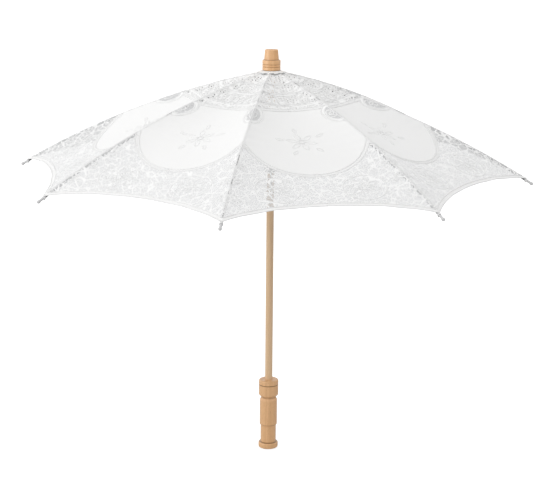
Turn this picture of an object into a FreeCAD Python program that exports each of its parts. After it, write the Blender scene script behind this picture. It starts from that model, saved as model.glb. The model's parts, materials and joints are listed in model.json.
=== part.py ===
import FreeCAD
import Part
import Sketcher
import math
import os

# Lace parasol, open. Millimetres, +Z up the shaft.
# The origin is the centre of the handle's flat foot. Rib 1 points along +X and the
# other ribs follow it anticlockwise, seen from above.

doc = FreeCAD.newDocument("lace_parasol")

# ---------------------------------------------------------------- driving dimensions

sheet = doc.addObject("Spreadsheet::Sheet", "Dims")
sheet.Label = "Dims"

DIMENSIONS = [
    ("rib_count", 8, "ribs, stretchers and gores"),
    ("shaft_radius", 6.1, "dowel"),
    ("shaft_foot", 79.0, "lower end of the dowel, inside the handle"),
    ("shaft_length", 578.0, "dowel, end to end"),
    ("handle_length", 119.0, "foot to collar top"),
    ("handle_rim_radius", 16.2, "foot rim and collar"),
    ("handle_rim_height", 9.0, "foot rim"),
    ("handle_lower_radius", 12.8, "narrow length above the foot rim"),
    ("handle_step_height", 41.0, "where the grip thickens"),
    ("handle_grip_radius", 14.4, "main grip"),
    ("handle_grip_top", 84.0, "upper end of the grip"),
    ("handle_neck_radius", 11.9, "bottom of the V groove"),
    ("handle_neck_height", 88.5, "middle of the V groove"),
    ("handle_collar_foot", 93.0, "lower edge of the collar"),
    ("handle_groove_height", 110.5, "fine groove round the collar"),
    ("handle_groove_width", 1.4, "fine groove"),
    ("handle_groove_depth", 0.9, "fine groove"),
    ("handle_bore_depth", 40.5, "hole that the dowel is glued into"),
    ("wood_round", 2.2, "rounding of the turned edges"),
    ("finial_foot", 637.0, "underside of the finial"),
    ("finial_collar_radius", 14.6, "collar"),
    ("finial_collar_height", 16.0, "collar"),
    ("finial_top_radius", 10.5, "upper part"),
    ("finial_waist_radius", 11.9, "foot of the upper part"),
    ("finial_height", 32.5, "whole finial"),
    ("finial_groove_low", 5.2, "lower groove above the underside"),
    ("finial_groove_high", 9.0, "upper groove above the underside"),
    ("finial_groove_width", 1.2, "both grooves"),
    ("finial_bore_depth", 20.2, "hole for the dowel"),
    ("pivot_height", 627.0, "rib pivots at the crown"),
    ("pivot_radius", 9.5, "rib and stretcher pivots from the shaft's axis"),
    ("wire_radius", 0.6, "ring wires"),
    ("wire_hole_radius", 0.7, "holes that the ring wires pass through"),
    ("ring_bore_radius", 6.15, "crown bore, pressed on the dowel"),
    ("ring_radius", 13.0, "crown and runner ring"),
    ("ring_slot_floor", 7.3, "bottom of the slots from the axis"),
    ("ring_slot_width", 2.4, "slots"),
    ("crown_below", 5.5, "crown below the rib pivots"),
    ("crown_above", 6.0, "crown above the rib pivots"),
    ("ring_chamfer", 1.2, "crown and runner ring edges"),
    ("rib_slope", 21.25, "angle of the rib's chord below level, degrees"),
    ("rib_chord", 440.4, "pivot to the end of the tip"),
    ("rib_sagitta", 20.0, "rise of the bent rib above its chord"),
    ("rib_depth", 3.6, "rib, in the plane it bends in"),
    ("rib_width", 1.8, "rib, across"),
    ("eye_radius", 1.8, "rounded rib and stretcher ends"),
    ("tip_length", 16.0, "rib tip"),
    ("tip_collar_radius", 2.35, "rib tip at the cloth's corner"),
    ("tip_waist_radius", 1.95, "rib tip behind its ball"),
    ("tip_ball_radius", 2.6, "ball end"),
    ("tenon_length", 8.0, "rib end inside the tip"),
    ("tenon_depth", 2.2, "rib end inside the tip"),
    ("tip_bore_radius", 1.5, "hole in the tip"),
    ("link_length", 200.0, "crown pivot to rib rivet, and rivet to runner pivot"),
    ("rivet_radius", 0.9, "rivet"),
    ("rivet_hole_radius", 0.97, "hole through the fork"),
    ("rivet_head_radius", 1.7, "rivet heads"),
    ("rivet_head_height", 0.6, "rivet heads"),
    ("bar_depth", 3.0, "stretcher"),
    ("fork_width", 4.1, "stretcher fork, outside"),
    ("fork_gap", 2.5, "stretcher fork, inside"),
    ("fork_length", 36.0, "open length of the fork"),
    ("fork_root", 10.0, "solid foot of the fork"),
    ("runner_bore_radius", 6.2, "runner on the shaft"),
    ("runner_half_height", 5.5, "runner ring above and below its pivots"),
    ("sleeve_radius", 8.2, "runner sleeve"),
    ("sleeve_length", 42.0, "runner sleeve"),
    ("sleeve_rim_radius", 10.2, "finger rim at the foot of the sleeve"),
    ("sleeve_rim_height", 4.0, "finger rim"),
    ("catch_height", 32.0, "catch pivot to its shoulder"),
    ("catch_width", 2.0, "catch, across"),
    ("catch_reach", 8.6, "catch shoulder from the axis"),
    ("catch_slot_width", 2.6, "slot in the dowel"),
    ("catch_slot_depth", 8.55, "slot in the dowel, from its surface"),
    ("catch_pin_radius", 0.8, "pin that the catch turns on"),
    ("catch_pin_offset", 1.0, "that pin from the shaft's axis"),
    ("cloth_centre_radius", 7.0, "hole in the middle of the canopy"),
    ("cloth_centre_height", 636.3, "canopy at that hole"),
    ("cloth_corner_radius", 406.1, "canopy corner at the rib tip"),
    ("cloth_corner_height", 478.6, "canopy at that corner"),
    ("cloth_sagitta", 17.0, "rise of the seam above its chord"),
    ("cloth_middle_radius", 355.0, "hem half-way between two ribs"),
    ("cloth_middle_height", 487.0, "hem half-way between two ribs"),
    ("cloth_thickness", 0.6, "lace"),
    ("seam_gap", 0.2, "half gore to the middle of its rib"),
    ("crease_gap", 0.1, "half gore to the middle of its gore"),
]

for number, (alias, value, note) in enumerate(DIMENSIONS):
    row = number + 1
    sheet.set("A%d" % row, note)
    sheet.set("B%d" % row, str(value))
    sheet.setAlias("B%d" % row, alias)
doc.recompute()


def dim(alias):
    """Read one driving dimension."""
    return float(sheet.get(alias))


# ---------------------------------------------------------------- helpers

NODES = []
COUNT = int(dim("rib_count"))
STEP = 360.0 / COUNT
Z_AXIS = FreeCAD.Vector(0, 0, 1)
Y_AXIS = FreeCAD.Vector(0, 1, 0)
X_AXIS = FreeCAD.Vector(1, 0, 0)


def bind(obj, **expressions):
    """Drive properties of an object from the sheet."""
    for name, expression in expressions.items():
        obj.setExpression(name, expression)


def keep(obj, label, placement=None):
    """Name a finished sub-part and place it."""
    obj.Label = label
    if placement is not None:
        obj.Placement = placement
    NODES.append(obj)
    return obj


def around(azimuth):
    """A turn about the shaft."""
    return FreeCAD.Placement(FreeCAD.Vector(), FreeCAD.Rotation(Z_AXIS, azimuth))


def at(x, y, z, axis=Z_AXIS, angle=0.0):
    return FreeCAD.Placement(FreeCAD.Vector(x, y, z), FreeCAD.Rotation(axis, angle))


def plane(body, role):
    """One of a body's own origin planes or axes."""
    for feature in body.Origin.OriginFeatures:
        if feature.Role == role:
            return feature
    raise ValueError(role)


def outline(body, name, role, corners):
    """A closed outline whose corners are all dimensioned from the origin by the sheet.

    Each corner is a pair of expressions: distance along the sketch's X, then along its Y.
    """
    sketch = body.newObject("Sketcher::SketchObject", name)
    sketch.AttachmentSupport = [(plane(body, role), "")]
    sketch.MapMode = "FlatFace"
    points = []
    for across, up in corners:
        x = float(sheet.evalExpression(across))
        y = float(sheet.evalExpression(up))
        points.append(FreeCAD.Vector(x, y, 0))
    total = len(points)
    for index in range(total):
        line = Part.LineSegment(points[index], points[(index + 1) % total])
        sketch.addGeometry(line, False)
    for index in range(total):
        sketch.addConstraint(Sketcher.Constraint("Coincident", index, 2, (index + 1) % total, 1))
    for index in range(total):
        for kind, value, expression in (
            ("DistanceX", points[index].x, corners[index][0]),
            ("DistanceY", points[index].y, corners[index][1]),
        ):
            datum = sketch.addConstraint(Sketcher.Constraint(kind, -1, 1, index, 1, value))
            sketch.setExpression("Constraints[%d]" % datum, expression)
    return sketch


def ring_sketch(body, name, role, radius):
    """A circle round the origin, driven by the sheet."""
    sketch = body.newObject("Sketcher::SketchObject", name)
    sketch.AttachmentSupport = [(plane(body, role), "")]
    sketch.MapMode = "FlatFace"
    value = float(sheet.evalExpression(radius))
    sketch.addGeometry(Part.Circle(FreeCAD.Vector(), Z_AXIS, value), False)
    sketch.addConstraint(Sketcher.Constraint("Coincident", 0, 3, -1, 1))
    datum = sketch.addConstraint(Sketcher.Constraint("Radius", 0, value))
    sketch.setExpression("Constraints[%d]" % datum, radius)
    return sketch


def turned(name, corners):
    """A body turned about +Z from an outline in its XZ plane."""
    body = doc.addObject("PartDesign::Body", name)
    sketch = outline(body, name + "_profile", "XZ_Plane", corners)
    turn = body.newObject("PartDesign::Revolution", name + "_turn")
    turn.Profile = sketch
    turn.ReferenceAxis = (sketch, ["V_Axis"])
    turn.Angle = 360.0
    doc.recompute()
    return body


def soften(body, name, rings, size):
    """Round the circular edges of a turned body found by radius and height."""
    base = body.Tip
    names = []
    for index, edge in enumerate(base.Shape.Edges):
        curve = edge.Curve
        if not isinstance(curve, Part.Circle):
            continue
        for radius, height in rings:
            if abs(curve.Radius - radius) < 0.01 and abs(edge.BoundBox.Center.z - height) < 0.01:
                names.append("Edge%d" % (index + 1))
    if len(names) < len(rings):
        raise ValueError("%s: %d of %d edges found" % (name, len(names), len(rings)))
    fillet = body.newObject("PartDesign::Fillet", name)
    fillet.Base = (base, names)
    fillet.setExpression("Radius", size)
    doc.recompute()
    return fillet


def cut_checked(body, before, name):
    """A cut has to take material away."""
    doc.recompute()
    if body.Shape.Volume > before - 0.01:
        raise ValueError(name + " removed nothing")


def cylinder(name, radius, height, placement, angle=None):
    obj = doc.addObject("Part::Cylinder", name)
    bind(obj, Radius=radius, Height=height)
    if angle is not None:
        obj.setExpression("Angle", angle)
    obj.Placement = placement
    return obj


def box(name, length, width, height, placement):
    obj = doc.addObject("Part::Box", name)
    bind(obj, Length=length, Width=width, Height=height)
    obj.Placement = placement
    return obj


def fuse(name, *parts):
    obj = doc.addObject("Part::MultiFuse", name)
    obj.Shapes = list(parts)
    return obj


def cut(name, base, tool):
    obj = doc.addObject("Part::Cut", name)
    obj.Base = base
    obj.Tool = tool
    return obj


# ---------------------------------------------------------------- turned wood

# Dowel, with a blind slot that the catch sits in.
half = math.radians(STEP / 2)
slope = math.radians(dim("rib_slope"))
bend = 2 * math.atan(2 * dim("rib_sagitta") / dim("rib_chord"))
bend_radius = dim("rib_chord") / (2 * math.sin(bend))
# Angle between the rib's chord and the straight line from its pivot to its rivet.
lift = bend - math.asin(dim("link_length") / (2 * bend_radius))
link_slope = slope - lift
rivet_radius_out = dim("pivot_radius") + dim("link_length") * math.cos(link_slope)
rivet_height = dim("pivot_height") - dim("link_length") * math.sin(link_slope)
runner_height = dim("pivot_height") - 2 * dim("link_length") * math.sin(link_slope)
sleeve_foot = runner_height - dim("runner_half_height") - dim("sleeve_length")
catch_foot = sleeve_foot - 0.4 - dim("catch_height")
catch_azimuth = -90.0 + STEP / 2

shaft = doc.addObject("PartDesign::Body", "shaft")
dowel = shaft.newObject("PartDesign::Pad", "dowel")
dowel.Profile = ring_sketch(shaft, "dowel_circle", "XY_Plane", "Dims.shaft_radius")
dowel.setExpression("Length", "Dims.shaft_length")
doc.recompute()
before = shaft.Shape.Volume
slot = outline(
    shaft,
    "slot_outline",
    "XZ_Plane",
    [
        ("Dims.shaft_radius - Dims.catch_slot_depth", "%.4f" % (catch_foot - 3.0 - dim("shaft_foot"))),
        ("Dims.shaft_radius + 1", "%.4f" % (catch_foot - 3.0 - dim("shaft_foot"))),
        ("Dims.shaft_radius + 1", "%.4f + Dims.catch_height" % (catch_foot + 1.5 - dim("shaft_foot"))),
        (
            "Dims.shaft_radius - Dims.catch_slot_depth",
            "%.4f + Dims.catch_height" % (catch_foot + 1.5 - dim("shaft_foot")),
        ),
    ],
)
catch_slot = shaft.newObject("PartDesign::Pocket", "catch_slot")
catch_slot.Profile = slot
catch_slot.Midplane = True
catch_slot.setExpression("Length", "Dims.catch_slot_width")
cut_checked(shaft, before, "catch slot")
before = shaft.Shape.Volume


def pin_hole(body, name, radius, height):
    """A hole across the XZ plane for the catch's pin, cut right through."""
    sketch = body.newObject("Sketcher::SketchObject", name + "_circle")
    sketch.AttachmentSupport = [(plane(body, "XZ_Plane"), "")]
    sketch.MapMode = "FlatFace"
    middle = FreeCAD.Vector(dim("catch_pin_offset"), height, 0)
    value = float(sheet.evalExpression(radius))
    sketch.addGeometry(Part.Circle(middle, Z_AXIS, value), False)
    across = sketch.addConstraint(Sketcher.Constraint("DistanceX", -1, 1, 0, 3, middle.x))
    sketch.setExpression("Constraints[%d]" % across, "Dims.catch_pin_offset")
    if height:
        sketch.addConstraint(Sketcher.Constraint("DistanceY", -1, 1, 0, 3, height))
    else:
        sketch.addConstraint(Sketcher.Constraint("PointOnObject", 0, 3, -1))
    size = sketch.addConstraint(Sketcher.Constraint("Radius", 0, value))
    sketch.setExpression("Constraints[%d]" % size, radius)
    hole = body.newObject("PartDesign::Pocket", name)
    hole.Profile = sketch
    hole.Midplane = True
    hole.Length = 30.0
    return hole


pin_hole(shaft, "pin_hole", "Dims.catch_pin_radius", catch_foot - dim("shaft_foot"))
cut_checked(shaft, before, "pin hole")
keep(shaft, "shaft", at(0, 0, dim("shaft_foot"), Z_AXIS, catch_azimuth))

# Handle, bored from its top for the dowel.
handle = turned(
    "handle",
    [
        ("0", "0"),
        ("Dims.handle_rim_radius", "0"),
        ("Dims.handle_rim_radius", "Dims.handle_rim_height"),
        ("Dims.handle_lower_radius", "Dims.handle_rim_height + 1.2"),
        ("Dims.handle_lower_radius", "Dims.handle_step_height - 1.2"),
        ("Dims.handle_grip_radius", "Dims.handle_step_height"),
        ("Dims.handle_grip_radius", "Dims.handle_grip_top"),
        ("Dims.handle_neck_radius", "Dims.handle_neck_height"),
        ("Dims.handle_rim_radius", "Dims.handle_collar_foot"),
        ("Dims.handle_rim_radius", "Dims.handle_groove_height - Dims.handle_groove_width / 2"),
        ("Dims.handle_rim_radius - Dims.handle_groove_depth", "Dims.handle_groove_height"),
        ("Dims.handle_rim_radius", "Dims.handle_groove_height + Dims.handle_groove_width / 2"),
        ("Dims.handle_rim_radius", "Dims.handle_length"),
        ("Dims.shaft_radius + 0.02", "Dims.handle_length"),
        ("Dims.shaft_radius + 0.02", "Dims.handle_length - Dims.handle_bore_depth"),
        ("0", "Dims.handle_length - Dims.handle_bore_depth"),
    ],
)
rim = dim("handle_rim_radius")
soften(
    handle,
    "handle_rounding",
    [(rim, 0.0), (rim, dim("handle_rim_height")), (rim, dim("handle_length"))],
    "Dims.wood_round",
)
soften(
    handle,
    "handle_grip_rounding",
    [(dim("handle_grip_radius"), dim("handle_grip_top")), (rim, dim("handle_collar_foot"))],
    "Dims.wood_round / 2",
)
keep(handle, "handle")

# Finial, bored from below for the dowel.
finial = turned(
    "finial",
    [
        ("Dims.shaft_radius + 0.02", "0"),
        ("Dims.finial_collar_radius", "0"),
        ("Dims.finial_collar_radius", "Dims.finial_groove_low - Dims.finial_groove_width / 2"),
        ("Dims.finial_collar_radius - 0.8", "Dims.finial_groove_low"),
        ("Dims.finial_collar_radius", "Dims.finial_groove_low + Dims.finial_groove_width / 2"),
        ("Dims.finial_collar_radius", "Dims.finial_groove_high - Dims.finial_groove_width / 2"),
        ("Dims.finial_collar_radius - 0.8", "Dims.finial_groove_high"),
        ("Dims.finial_collar_radius", "Dims.finial_groove_high + Dims.finial_groove_width / 2"),
        ("Dims.finial_collar_radius", "Dims.finial_collar_height"),
        ("Dims.finial_waist_radius", "Dims.finial_collar_height"),
        ("Dims.finial_top_radius", "Dims.finial_height"),
        ("0", "Dims.finial_height"),
        ("0", "Dims.finial_bore_depth"),
        ("Dims.shaft_radius + 0.02", "Dims.finial_bore_depth"),
    ],
)
soften(
    finial,
    "finial_rounding",
    [
        (dim("finial_top_radius"), dim("finial_height")),
        (dim("finial_collar_radius"), dim("finial_collar_height")),
    ],
    "Dims.wood_round / 1.4",
)
keep(finial, "finial", at(0, 0, dim("finial_foot")))

# ---------------------------------------------------------------- slotted rings and wires


def slotted_ring(name, bore, below, above):
    """A ring with a radial slot for each rib and a round tunnel for its wire."""
    body = doc.addObject("PartDesign::Body", name)
    sketch = outline(
        body,
        name + "_profile",
        "XZ_Plane",
        [
            (bore, "-" + below),
            ("Dims.ring_radius - Dims.ring_chamfer", "-" + below),
            ("Dims.ring_radius", "Dims.ring_chamfer - " + below),
            ("Dims.ring_radius", above + " - Dims.ring_chamfer"),
            ("Dims.ring_radius - Dims.ring_chamfer", above),
            (bore, above),
        ],
    )
    turn = body.newObject("PartDesign::Revolution", name + "_turn")
    turn.Profile = sketch
    turn.ReferenceAxis = (sketch, ["V_Axis"])
    turn.Angle = 360.0
    doc.recompute()
    full = body.Shape.Volume
    mouth = outline(
        body,
        name + "_slot_outline",
        "XY_Plane",
        [
            ("Dims.ring_slot_floor", "-Dims.ring_slot_width / 2"),
            ("Dims.ring_radius + 2", "-Dims.ring_slot_width / 2"),
            ("Dims.ring_radius + 2", "Dims.ring_slot_width / 2"),
            ("Dims.ring_slot_floor", "Dims.ring_slot_width / 2"),
        ],
    )
    slot_cut = body.newObject("PartDesign::Pocket", name + "_slot")
    slot_cut.Profile = mouth
    slot_cut.Midplane = True
    slot_cut.Length = 60.0
    cut_checked(body, full, name + " slot")
    one = body.Shape.Volume
    pattern = body.newObject("PartDesign::PolarPattern", name + "_slots")
    pattern.Originals = [slot_cut]
    pattern.Axis = (plane(body, "Z_Axis"), [""])
    pattern.Angle = 360.0
    pattern.setExpression("Occurrences", "Dims.rib_count")
    body.Tip = pattern
    cut_checked(body, one, name + " slots")
    slotted = body.Shape.Volume
    tunnel = body.newObject("Sketcher::SketchObject", name + "_tunnel_circle")
    tunnel.AttachmentSupport = [(plane(body, "XZ_Plane"), "")]
    tunnel.MapMode = "FlatFace"
    centre = FreeCAD.Vector(dim("pivot_radius"), 0, 0)
    tunnel.addGeometry(Part.Circle(centre, Z_AXIS, dim("wire_radius") + 0.03), False)
    tunnel.addConstraint(Sketcher.Constraint("PointOnObject", 0, 3, -1))
    across = tunnel.addConstraint(Sketcher.Constraint("DistanceX", -1, 1, 0, 3, centre.x))
    tunnel.setExpression("Constraints[%d]" % across, "Dims.pivot_radius")
    size = tunnel.addConstraint(Sketcher.Constraint("Radius", 0, dim("wire_radius") + 0.03))
    tunnel.setExpression("Constraints[%d]" % size, "Dims.wire_radius + 0.03")
    groove = body.newObject("PartDesign::Groove", name + "_tunnel")
    groove.Profile = tunnel
    groove.ReferenceAxis = (tunnel, ["V_Axis"])
    groove.Angle = 360.0
    cut_checked(body, slotted, name + " tunnel")
    return body


def ring_wire(name, height):
    wire = doc.addObject("Part::Torus", name)
    bind(wire, Radius1="Dims.pivot_radius", Radius2="Dims.wire_radius")
    return keep(wire, name, at(0, 0, height))


keep(
    slotted_ring("crown", "Dims.ring_bore_radius", "Dims.crown_below", "Dims.crown_above"),
    "crown",
    at(0, 0, dim("pivot_height")),
)
ring_wire("crown_wire", dim("pivot_height"))
keep(
    slotted_ring(
        "runner_ring",
        "Dims.runner_bore_radius",
        "Dims.runner_half_height",
        "Dims.runner_half_height",
    ),
    "runner_ring",
    at(0, 0, runner_height),
)
ring_wire("runner_wire", runner_height)

# Sleeve under the runner ring, with a finger rim at its foot.
sleeve = turned(
    "runner_sleeve",
    [
        ("Dims.runner_bore_radius", "0"),
        ("Dims.sleeve_rim_radius", "0"),
        ("Dims.sleeve_rim_radius", "Dims.sleeve_rim_height"),
        ("Dims.sleeve_radius", "Dims.sleeve_rim_height + 1.5"),
        ("Dims.sleeve_radius", "Dims.sleeve_length"),
        ("Dims.runner_bore_radius", "Dims.sleeve_length"),
    ],
)
keep(sleeve, "runner_sleeve", at(0, 0, sleeve_foot))

# Catch: a wedge on a cross pin, standing out of the dowel under the sleeve.
catch_plate = doc.addObject("PartDesign::Body", "catch_wedge")
wedge = outline(
    catch_plate,
    "catch_outline",
    "XZ_Plane",
    [
        ("-0.6", "-1.6"),
        ("2.4", "-1.6"),
        ("3.2", "4"),
        ("Dims.catch_reach - 0.5", "Dims.catch_height - 4"),
        ("Dims.catch_reach", "Dims.catch_height"),
        ("4.2", "Dims.catch_height"),
        ("3.2", "Dims.catch_height - 4"),
        ("1.2", "4"),
    ],
)
wedge_pad = catch_plate.newObject("PartDesign::Pad", "catch_pad")
wedge_pad.Profile = wedge
wedge_pad.Midplane = True
wedge_pad.setExpression("Length", "Dims.catch_width")
doc.recompute()
before = catch_plate.Shape.Volume
pin_hole(catch_plate, "wedge_hole", "Dims.catch_pin_radius + 0.06", 0.0)
cut_checked(catch_plate, before, "catch hole")
keep(catch_plate, "catch", around(catch_azimuth) * at(0, 0, catch_foot))

# Its pin lies across the dowel, a little shorter than the dowel is wide.
pin_length = "2 * Dims.shaft_radius - 0.6"
pin = cylinder("catch_pin", "Dims.catch_pin_radius", pin_length, FreeCAD.Placement())
pin_start = at(dim("catch_pin_offset"), dim("shaft_radius") - 0.3, catch_foot, X_AXIS, 90)
keep(pin, "catch_pin", around(catch_azimuth) * pin_start)

# ---------------------------------------------------------------- ribs and stretchers


def polar(distance, angle, centre_x, centre_z):
    """A point in the rib's plane, from the middle of its bend."""
    return (centre_x + distance * math.sin(angle), centre_z + distance * math.cos(angle))


# The bent rib is a sector of a tall ring whose axis crosses the rib's plane.
chord_x = math.cos(slope)
chord_z = -math.sin(slope)
middle_x = dim("pivot_radius") + chord_x * dim("rib_chord") / 2
middle_z = dim("pivot_height") + chord_z * dim("rib_chord") / 2
drop = bend_radius - dim("rib_sagitta")
bend_x = middle_x + chord_z * drop
bend_z = middle_z - chord_x * drop
# Slope of the rib at its pivot, where its tip starts and where its tenon ends.
slope_start = slope - bend
tip_angle = dim("tip_length") / bend_radius
tenon_angle = (dim("tip_length") - dim("tenon_length")) / bend_radius
slope_end = slope + bend
slope_tip = slope_end - tip_angle
slope_tenon = slope_end - tenon_angle

ARC = "(Dims.rib_chord^2 / 4 + Dims.rib_sagitta^2) / (2 * Dims.rib_sagitta)"


def bent_band(name, depth, width, first, last):
    """Part of a ring about the rib's bend, between two slopes."""
    turn_up = FreeCAD.Rotation(X_AXIS, 90)
    swing = FreeCAD.Rotation(Y_AXIS, math.degrees(last) - 90.0)
    value = float(sheet.evalExpression(width))
    parts = []
    for index, sign in enumerate(("+", "-")):
        part = doc.addObject("Part::Cylinder", "%s_%d" % (name, index))
        bind(
            part,
            Radius="%s %s %s / 2" % (ARC, sign, depth),
            Height=width if index == 0 else "%s + 2" % width,
        )
        part.Angle = math.degrees(last - first) if index == 0 else 360.0
        half_width = value / 2 + index
        start = FreeCAD.Vector(bend_x, half_width, bend_z)
        part.Placement = FreeCAD.Placement(start, swing * turn_up)
        parts.append(part)
    return cut(name, parts[0], parts[1])


def across_rib(name, radius, width, x, z):
    """A cylinder across the rib's plane."""
    value = float(sheet.evalExpression(width))
    return cylinder(name, radius, width, at(x, value / 2, z, X_AXIS, 90))


rib_band = bent_band("rib_band", "Dims.rib_depth", "Dims.rib_width", slope_start, slope_tip)
rib_tenon = bent_band("rib_tenon", "Dims.tenon_depth", "Dims.rib_width", slope_tip - 0.002, slope_tenon)
rib_eye = across_rib("rib_eye", "Dims.eye_radius", "Dims.rib_width", dim("pivot_radius"), dim("pivot_height"))
rib_blank = fuse("rib_blank", rib_band, rib_tenon, rib_eye)
rib_holes = fuse(
    "rib_holes",
    across_rib("rib_wire_hole", "Dims.wire_hole_radius", "Dims.rib_width + 4", dim("pivot_radius"), dim("pivot_height")),
    across_rib("rib_rivet_hole", "Dims.rivet_radius", "Dims.rib_width + 4", rivet_radius_out, rivet_height),
)

# Stretcher, modelled along +X from its runner eye to its rivet.
reach = "Dims.link_length - Dims.fork_length"
bar = box(
    "bar",
    "%s - Dims.fork_root / 2" % reach,
    "Dims.rib_width",
    "Dims.bar_depth",
    at(0, -dim("rib_width") / 2, -dim("bar_depth") / 2),
)
root = box(
    "fork_foot",
    "Dims.fork_root",
    "Dims.fork_width",
    "Dims.bar_depth",
    at(
        dim("link_length") - dim("fork_length") - dim("fork_root"),
        -dim("fork_width") / 2,
        -dim("bar_depth") / 2,
    ),
)
cheek_width = "(Dims.fork_width - Dims.fork_gap) / 2"
cheeks = []
for side in (-1, 1):
    offset = -dim("fork_width") / 2 if side < 0 else dim("fork_gap") / 2
    cheeks.append(
        box(
            "cheek_%d" % len(cheeks),
            "Dims.fork_length + 1",
            cheek_width,
            "Dims.bar_depth",
            at(dim("link_length") - dim("fork_length") - 1, offset, -dim("bar_depth") / 2),
        )
    )
    far = offset + (dim("fork_width") - dim("fork_gap")) / 2
    cheeks.append(
        cylinder(
            "cheek_%d" % len(cheeks),
            "Dims.bar_depth / 2",
            cheek_width,
            at(dim("link_length"), far, 0, X_AXIS, 90),
        )
    )
bar_eye = across_rib("bar_eye", "Dims.eye_radius", "Dims.rib_width", 0, 0)
stretcher_blank = fuse("stretcher_blank", bar, root, bar_eye, *cheeks)
stretcher_holes = fuse(
    "stretcher_holes",
    across_rib("bar_wire_hole", "Dims.wire_hole_radius", "Dims.rib_width + 4", 0, 0),
    across_rib("fork_rivet_hole", "Dims.rivet_hole_radius", "Dims.fork_width + 4", dim("link_length"), 0),
)

end_x = dim("pivot_radius") + chord_x * dim("rib_chord")
end_z = dim("pivot_height") + chord_z * dim("rib_chord")
tip_x = bend_x + bend_radius * math.sin(slope_tip)
tip_z = bend_z + bend_radius * math.cos(slope_tip)
tip_lean = math.degrees(slope_tip)

for index in range(COUNT):
    number = index + 1
    azimuth = index * STEP

    keep(cut("rib_%d" % number, rib_blank, rib_holes), "rib_%d" % number, around(azimuth))

    # Tip, turned about the rib's end: the local +Z runs outward along the rib.
    tip = turned(
        "rib_tip_%d" % number,
        [
            ("Dims.tip_bore_radius", "0"),
            ("Dims.tip_collar_radius", "0"),
            ("Dims.tip_collar_radius", "1.4"),
            ("Dims.tip_waist_radius", "3"),
            ("Dims.tip_waist_radius", "Dims.tip_length - 5.4"),
            ("Dims.tip_ball_radius", "Dims.tip_length - 3.8"),
            ("Dims.tip_ball_radius", "Dims.tip_length - 1.8"),
            ("Dims.tip_ball_radius - 1.6", "Dims.tip_length"),
            ("0", "Dims.tip_length"),
            ("0", "Dims.tenon_length + 0.4"),
            ("Dims.tip_bore_radius", "Dims.tenon_length + 0.4"),
        ],
    )
    lean = FreeCAD.Placement(FreeCAD.Vector(tip_x, 0, tip_z), FreeCAD.Rotation(Y_AXIS, 90.0 + tip_lean))
    keep(tip, "rib_tip_%d" % number, around(azimuth) * lean)

    # Rivet through the rib and the fork.
    rivet = turned(
        "rivet_%d" % number,
        [
            ("0", "0"),
            ("Dims.rivet_head_radius", "0"),
            ("Dims.rivet_head_radius", "Dims.rivet_head_height"),
            ("Dims.rivet_radius", "Dims.rivet_head_height"),
            ("Dims.rivet_radius", "Dims.rivet_head_height + Dims.fork_width + 0.2"),
            ("Dims.rivet_head_radius", "Dims.rivet_head_height + Dims.fork_width + 0.2"),
            ("Dims.rivet_head_radius", "2 * Dims.rivet_head_height + Dims.fork_width + 0.2"),
            ("0", "2 * Dims.rivet_head_height + Dims.fork_width + 0.2"),
        ],
    )
    reach_out = dim("fork_width") / 2 + 0.1 + dim("rivet_head_height")
    cross = at(rivet_radius_out, reach_out, rivet_height, X_AXIS, 90)
    keep(rivet, "rivet_%d" % number, around(azimuth) * cross)

    swing_up = at(dim("pivot_radius"), 0, runner_height, Y_AXIS, -math.degrees(link_slope))
    stretcher = cut("stretcher_%d" % number, stretcher_blank, stretcher_holes)
    keep(stretcher, "stretcher_%d" % number, around(azimuth) * swing_up)

# ---------------------------------------------------------------- canopy

# Each half gore spans from the curved seam above its rib to the straight middle of its
# gore, and its hem is hollow between the ribs.
run = dim("cloth_corner_radius") - dim("cloth_centre_radius")
fall = dim("cloth_centre_height") - dim("cloth_corner_height")
seam_chord = math.hypot(run, fall)
seam_slope = math.atan2(fall, run)
seam_bend = 2 * math.atan(2 * dim("cloth_sagitta") / seam_chord)
seam_arc = seam_chord / (2 * math.sin(seam_bend))
seam_x = dim("cloth_centre_radius") + run / 2 - math.sin(seam_slope) * (seam_arc - dim("cloth_sagitta"))
seam_z = dim("cloth_centre_height") - fall / 2 - math.cos(seam_slope) * (seam_arc - dim("cloth_sagitta"))
over = 8.0 / seam_arc

corner_along = dim("cloth_corner_radius") * math.cos(half)
corner_across = dim("cloth_corner_radius") * math.sin(half)
hollow = corner_along - dim("cloth_middle_radius")
hem_arc = (hollow * hollow + corner_across * corner_across) / (2 * hollow)
hem_x = dim("cloth_middle_radius") + hem_arc
crease_run = dim("cloth_middle_radius") - dim("cloth_centre_radius")
crease_drop = dim("cloth_centre_height") - dim("cloth_middle_height")
stretch = 1.0 + 18.0 / crease_run
back = 2.0 / crease_run

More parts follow.
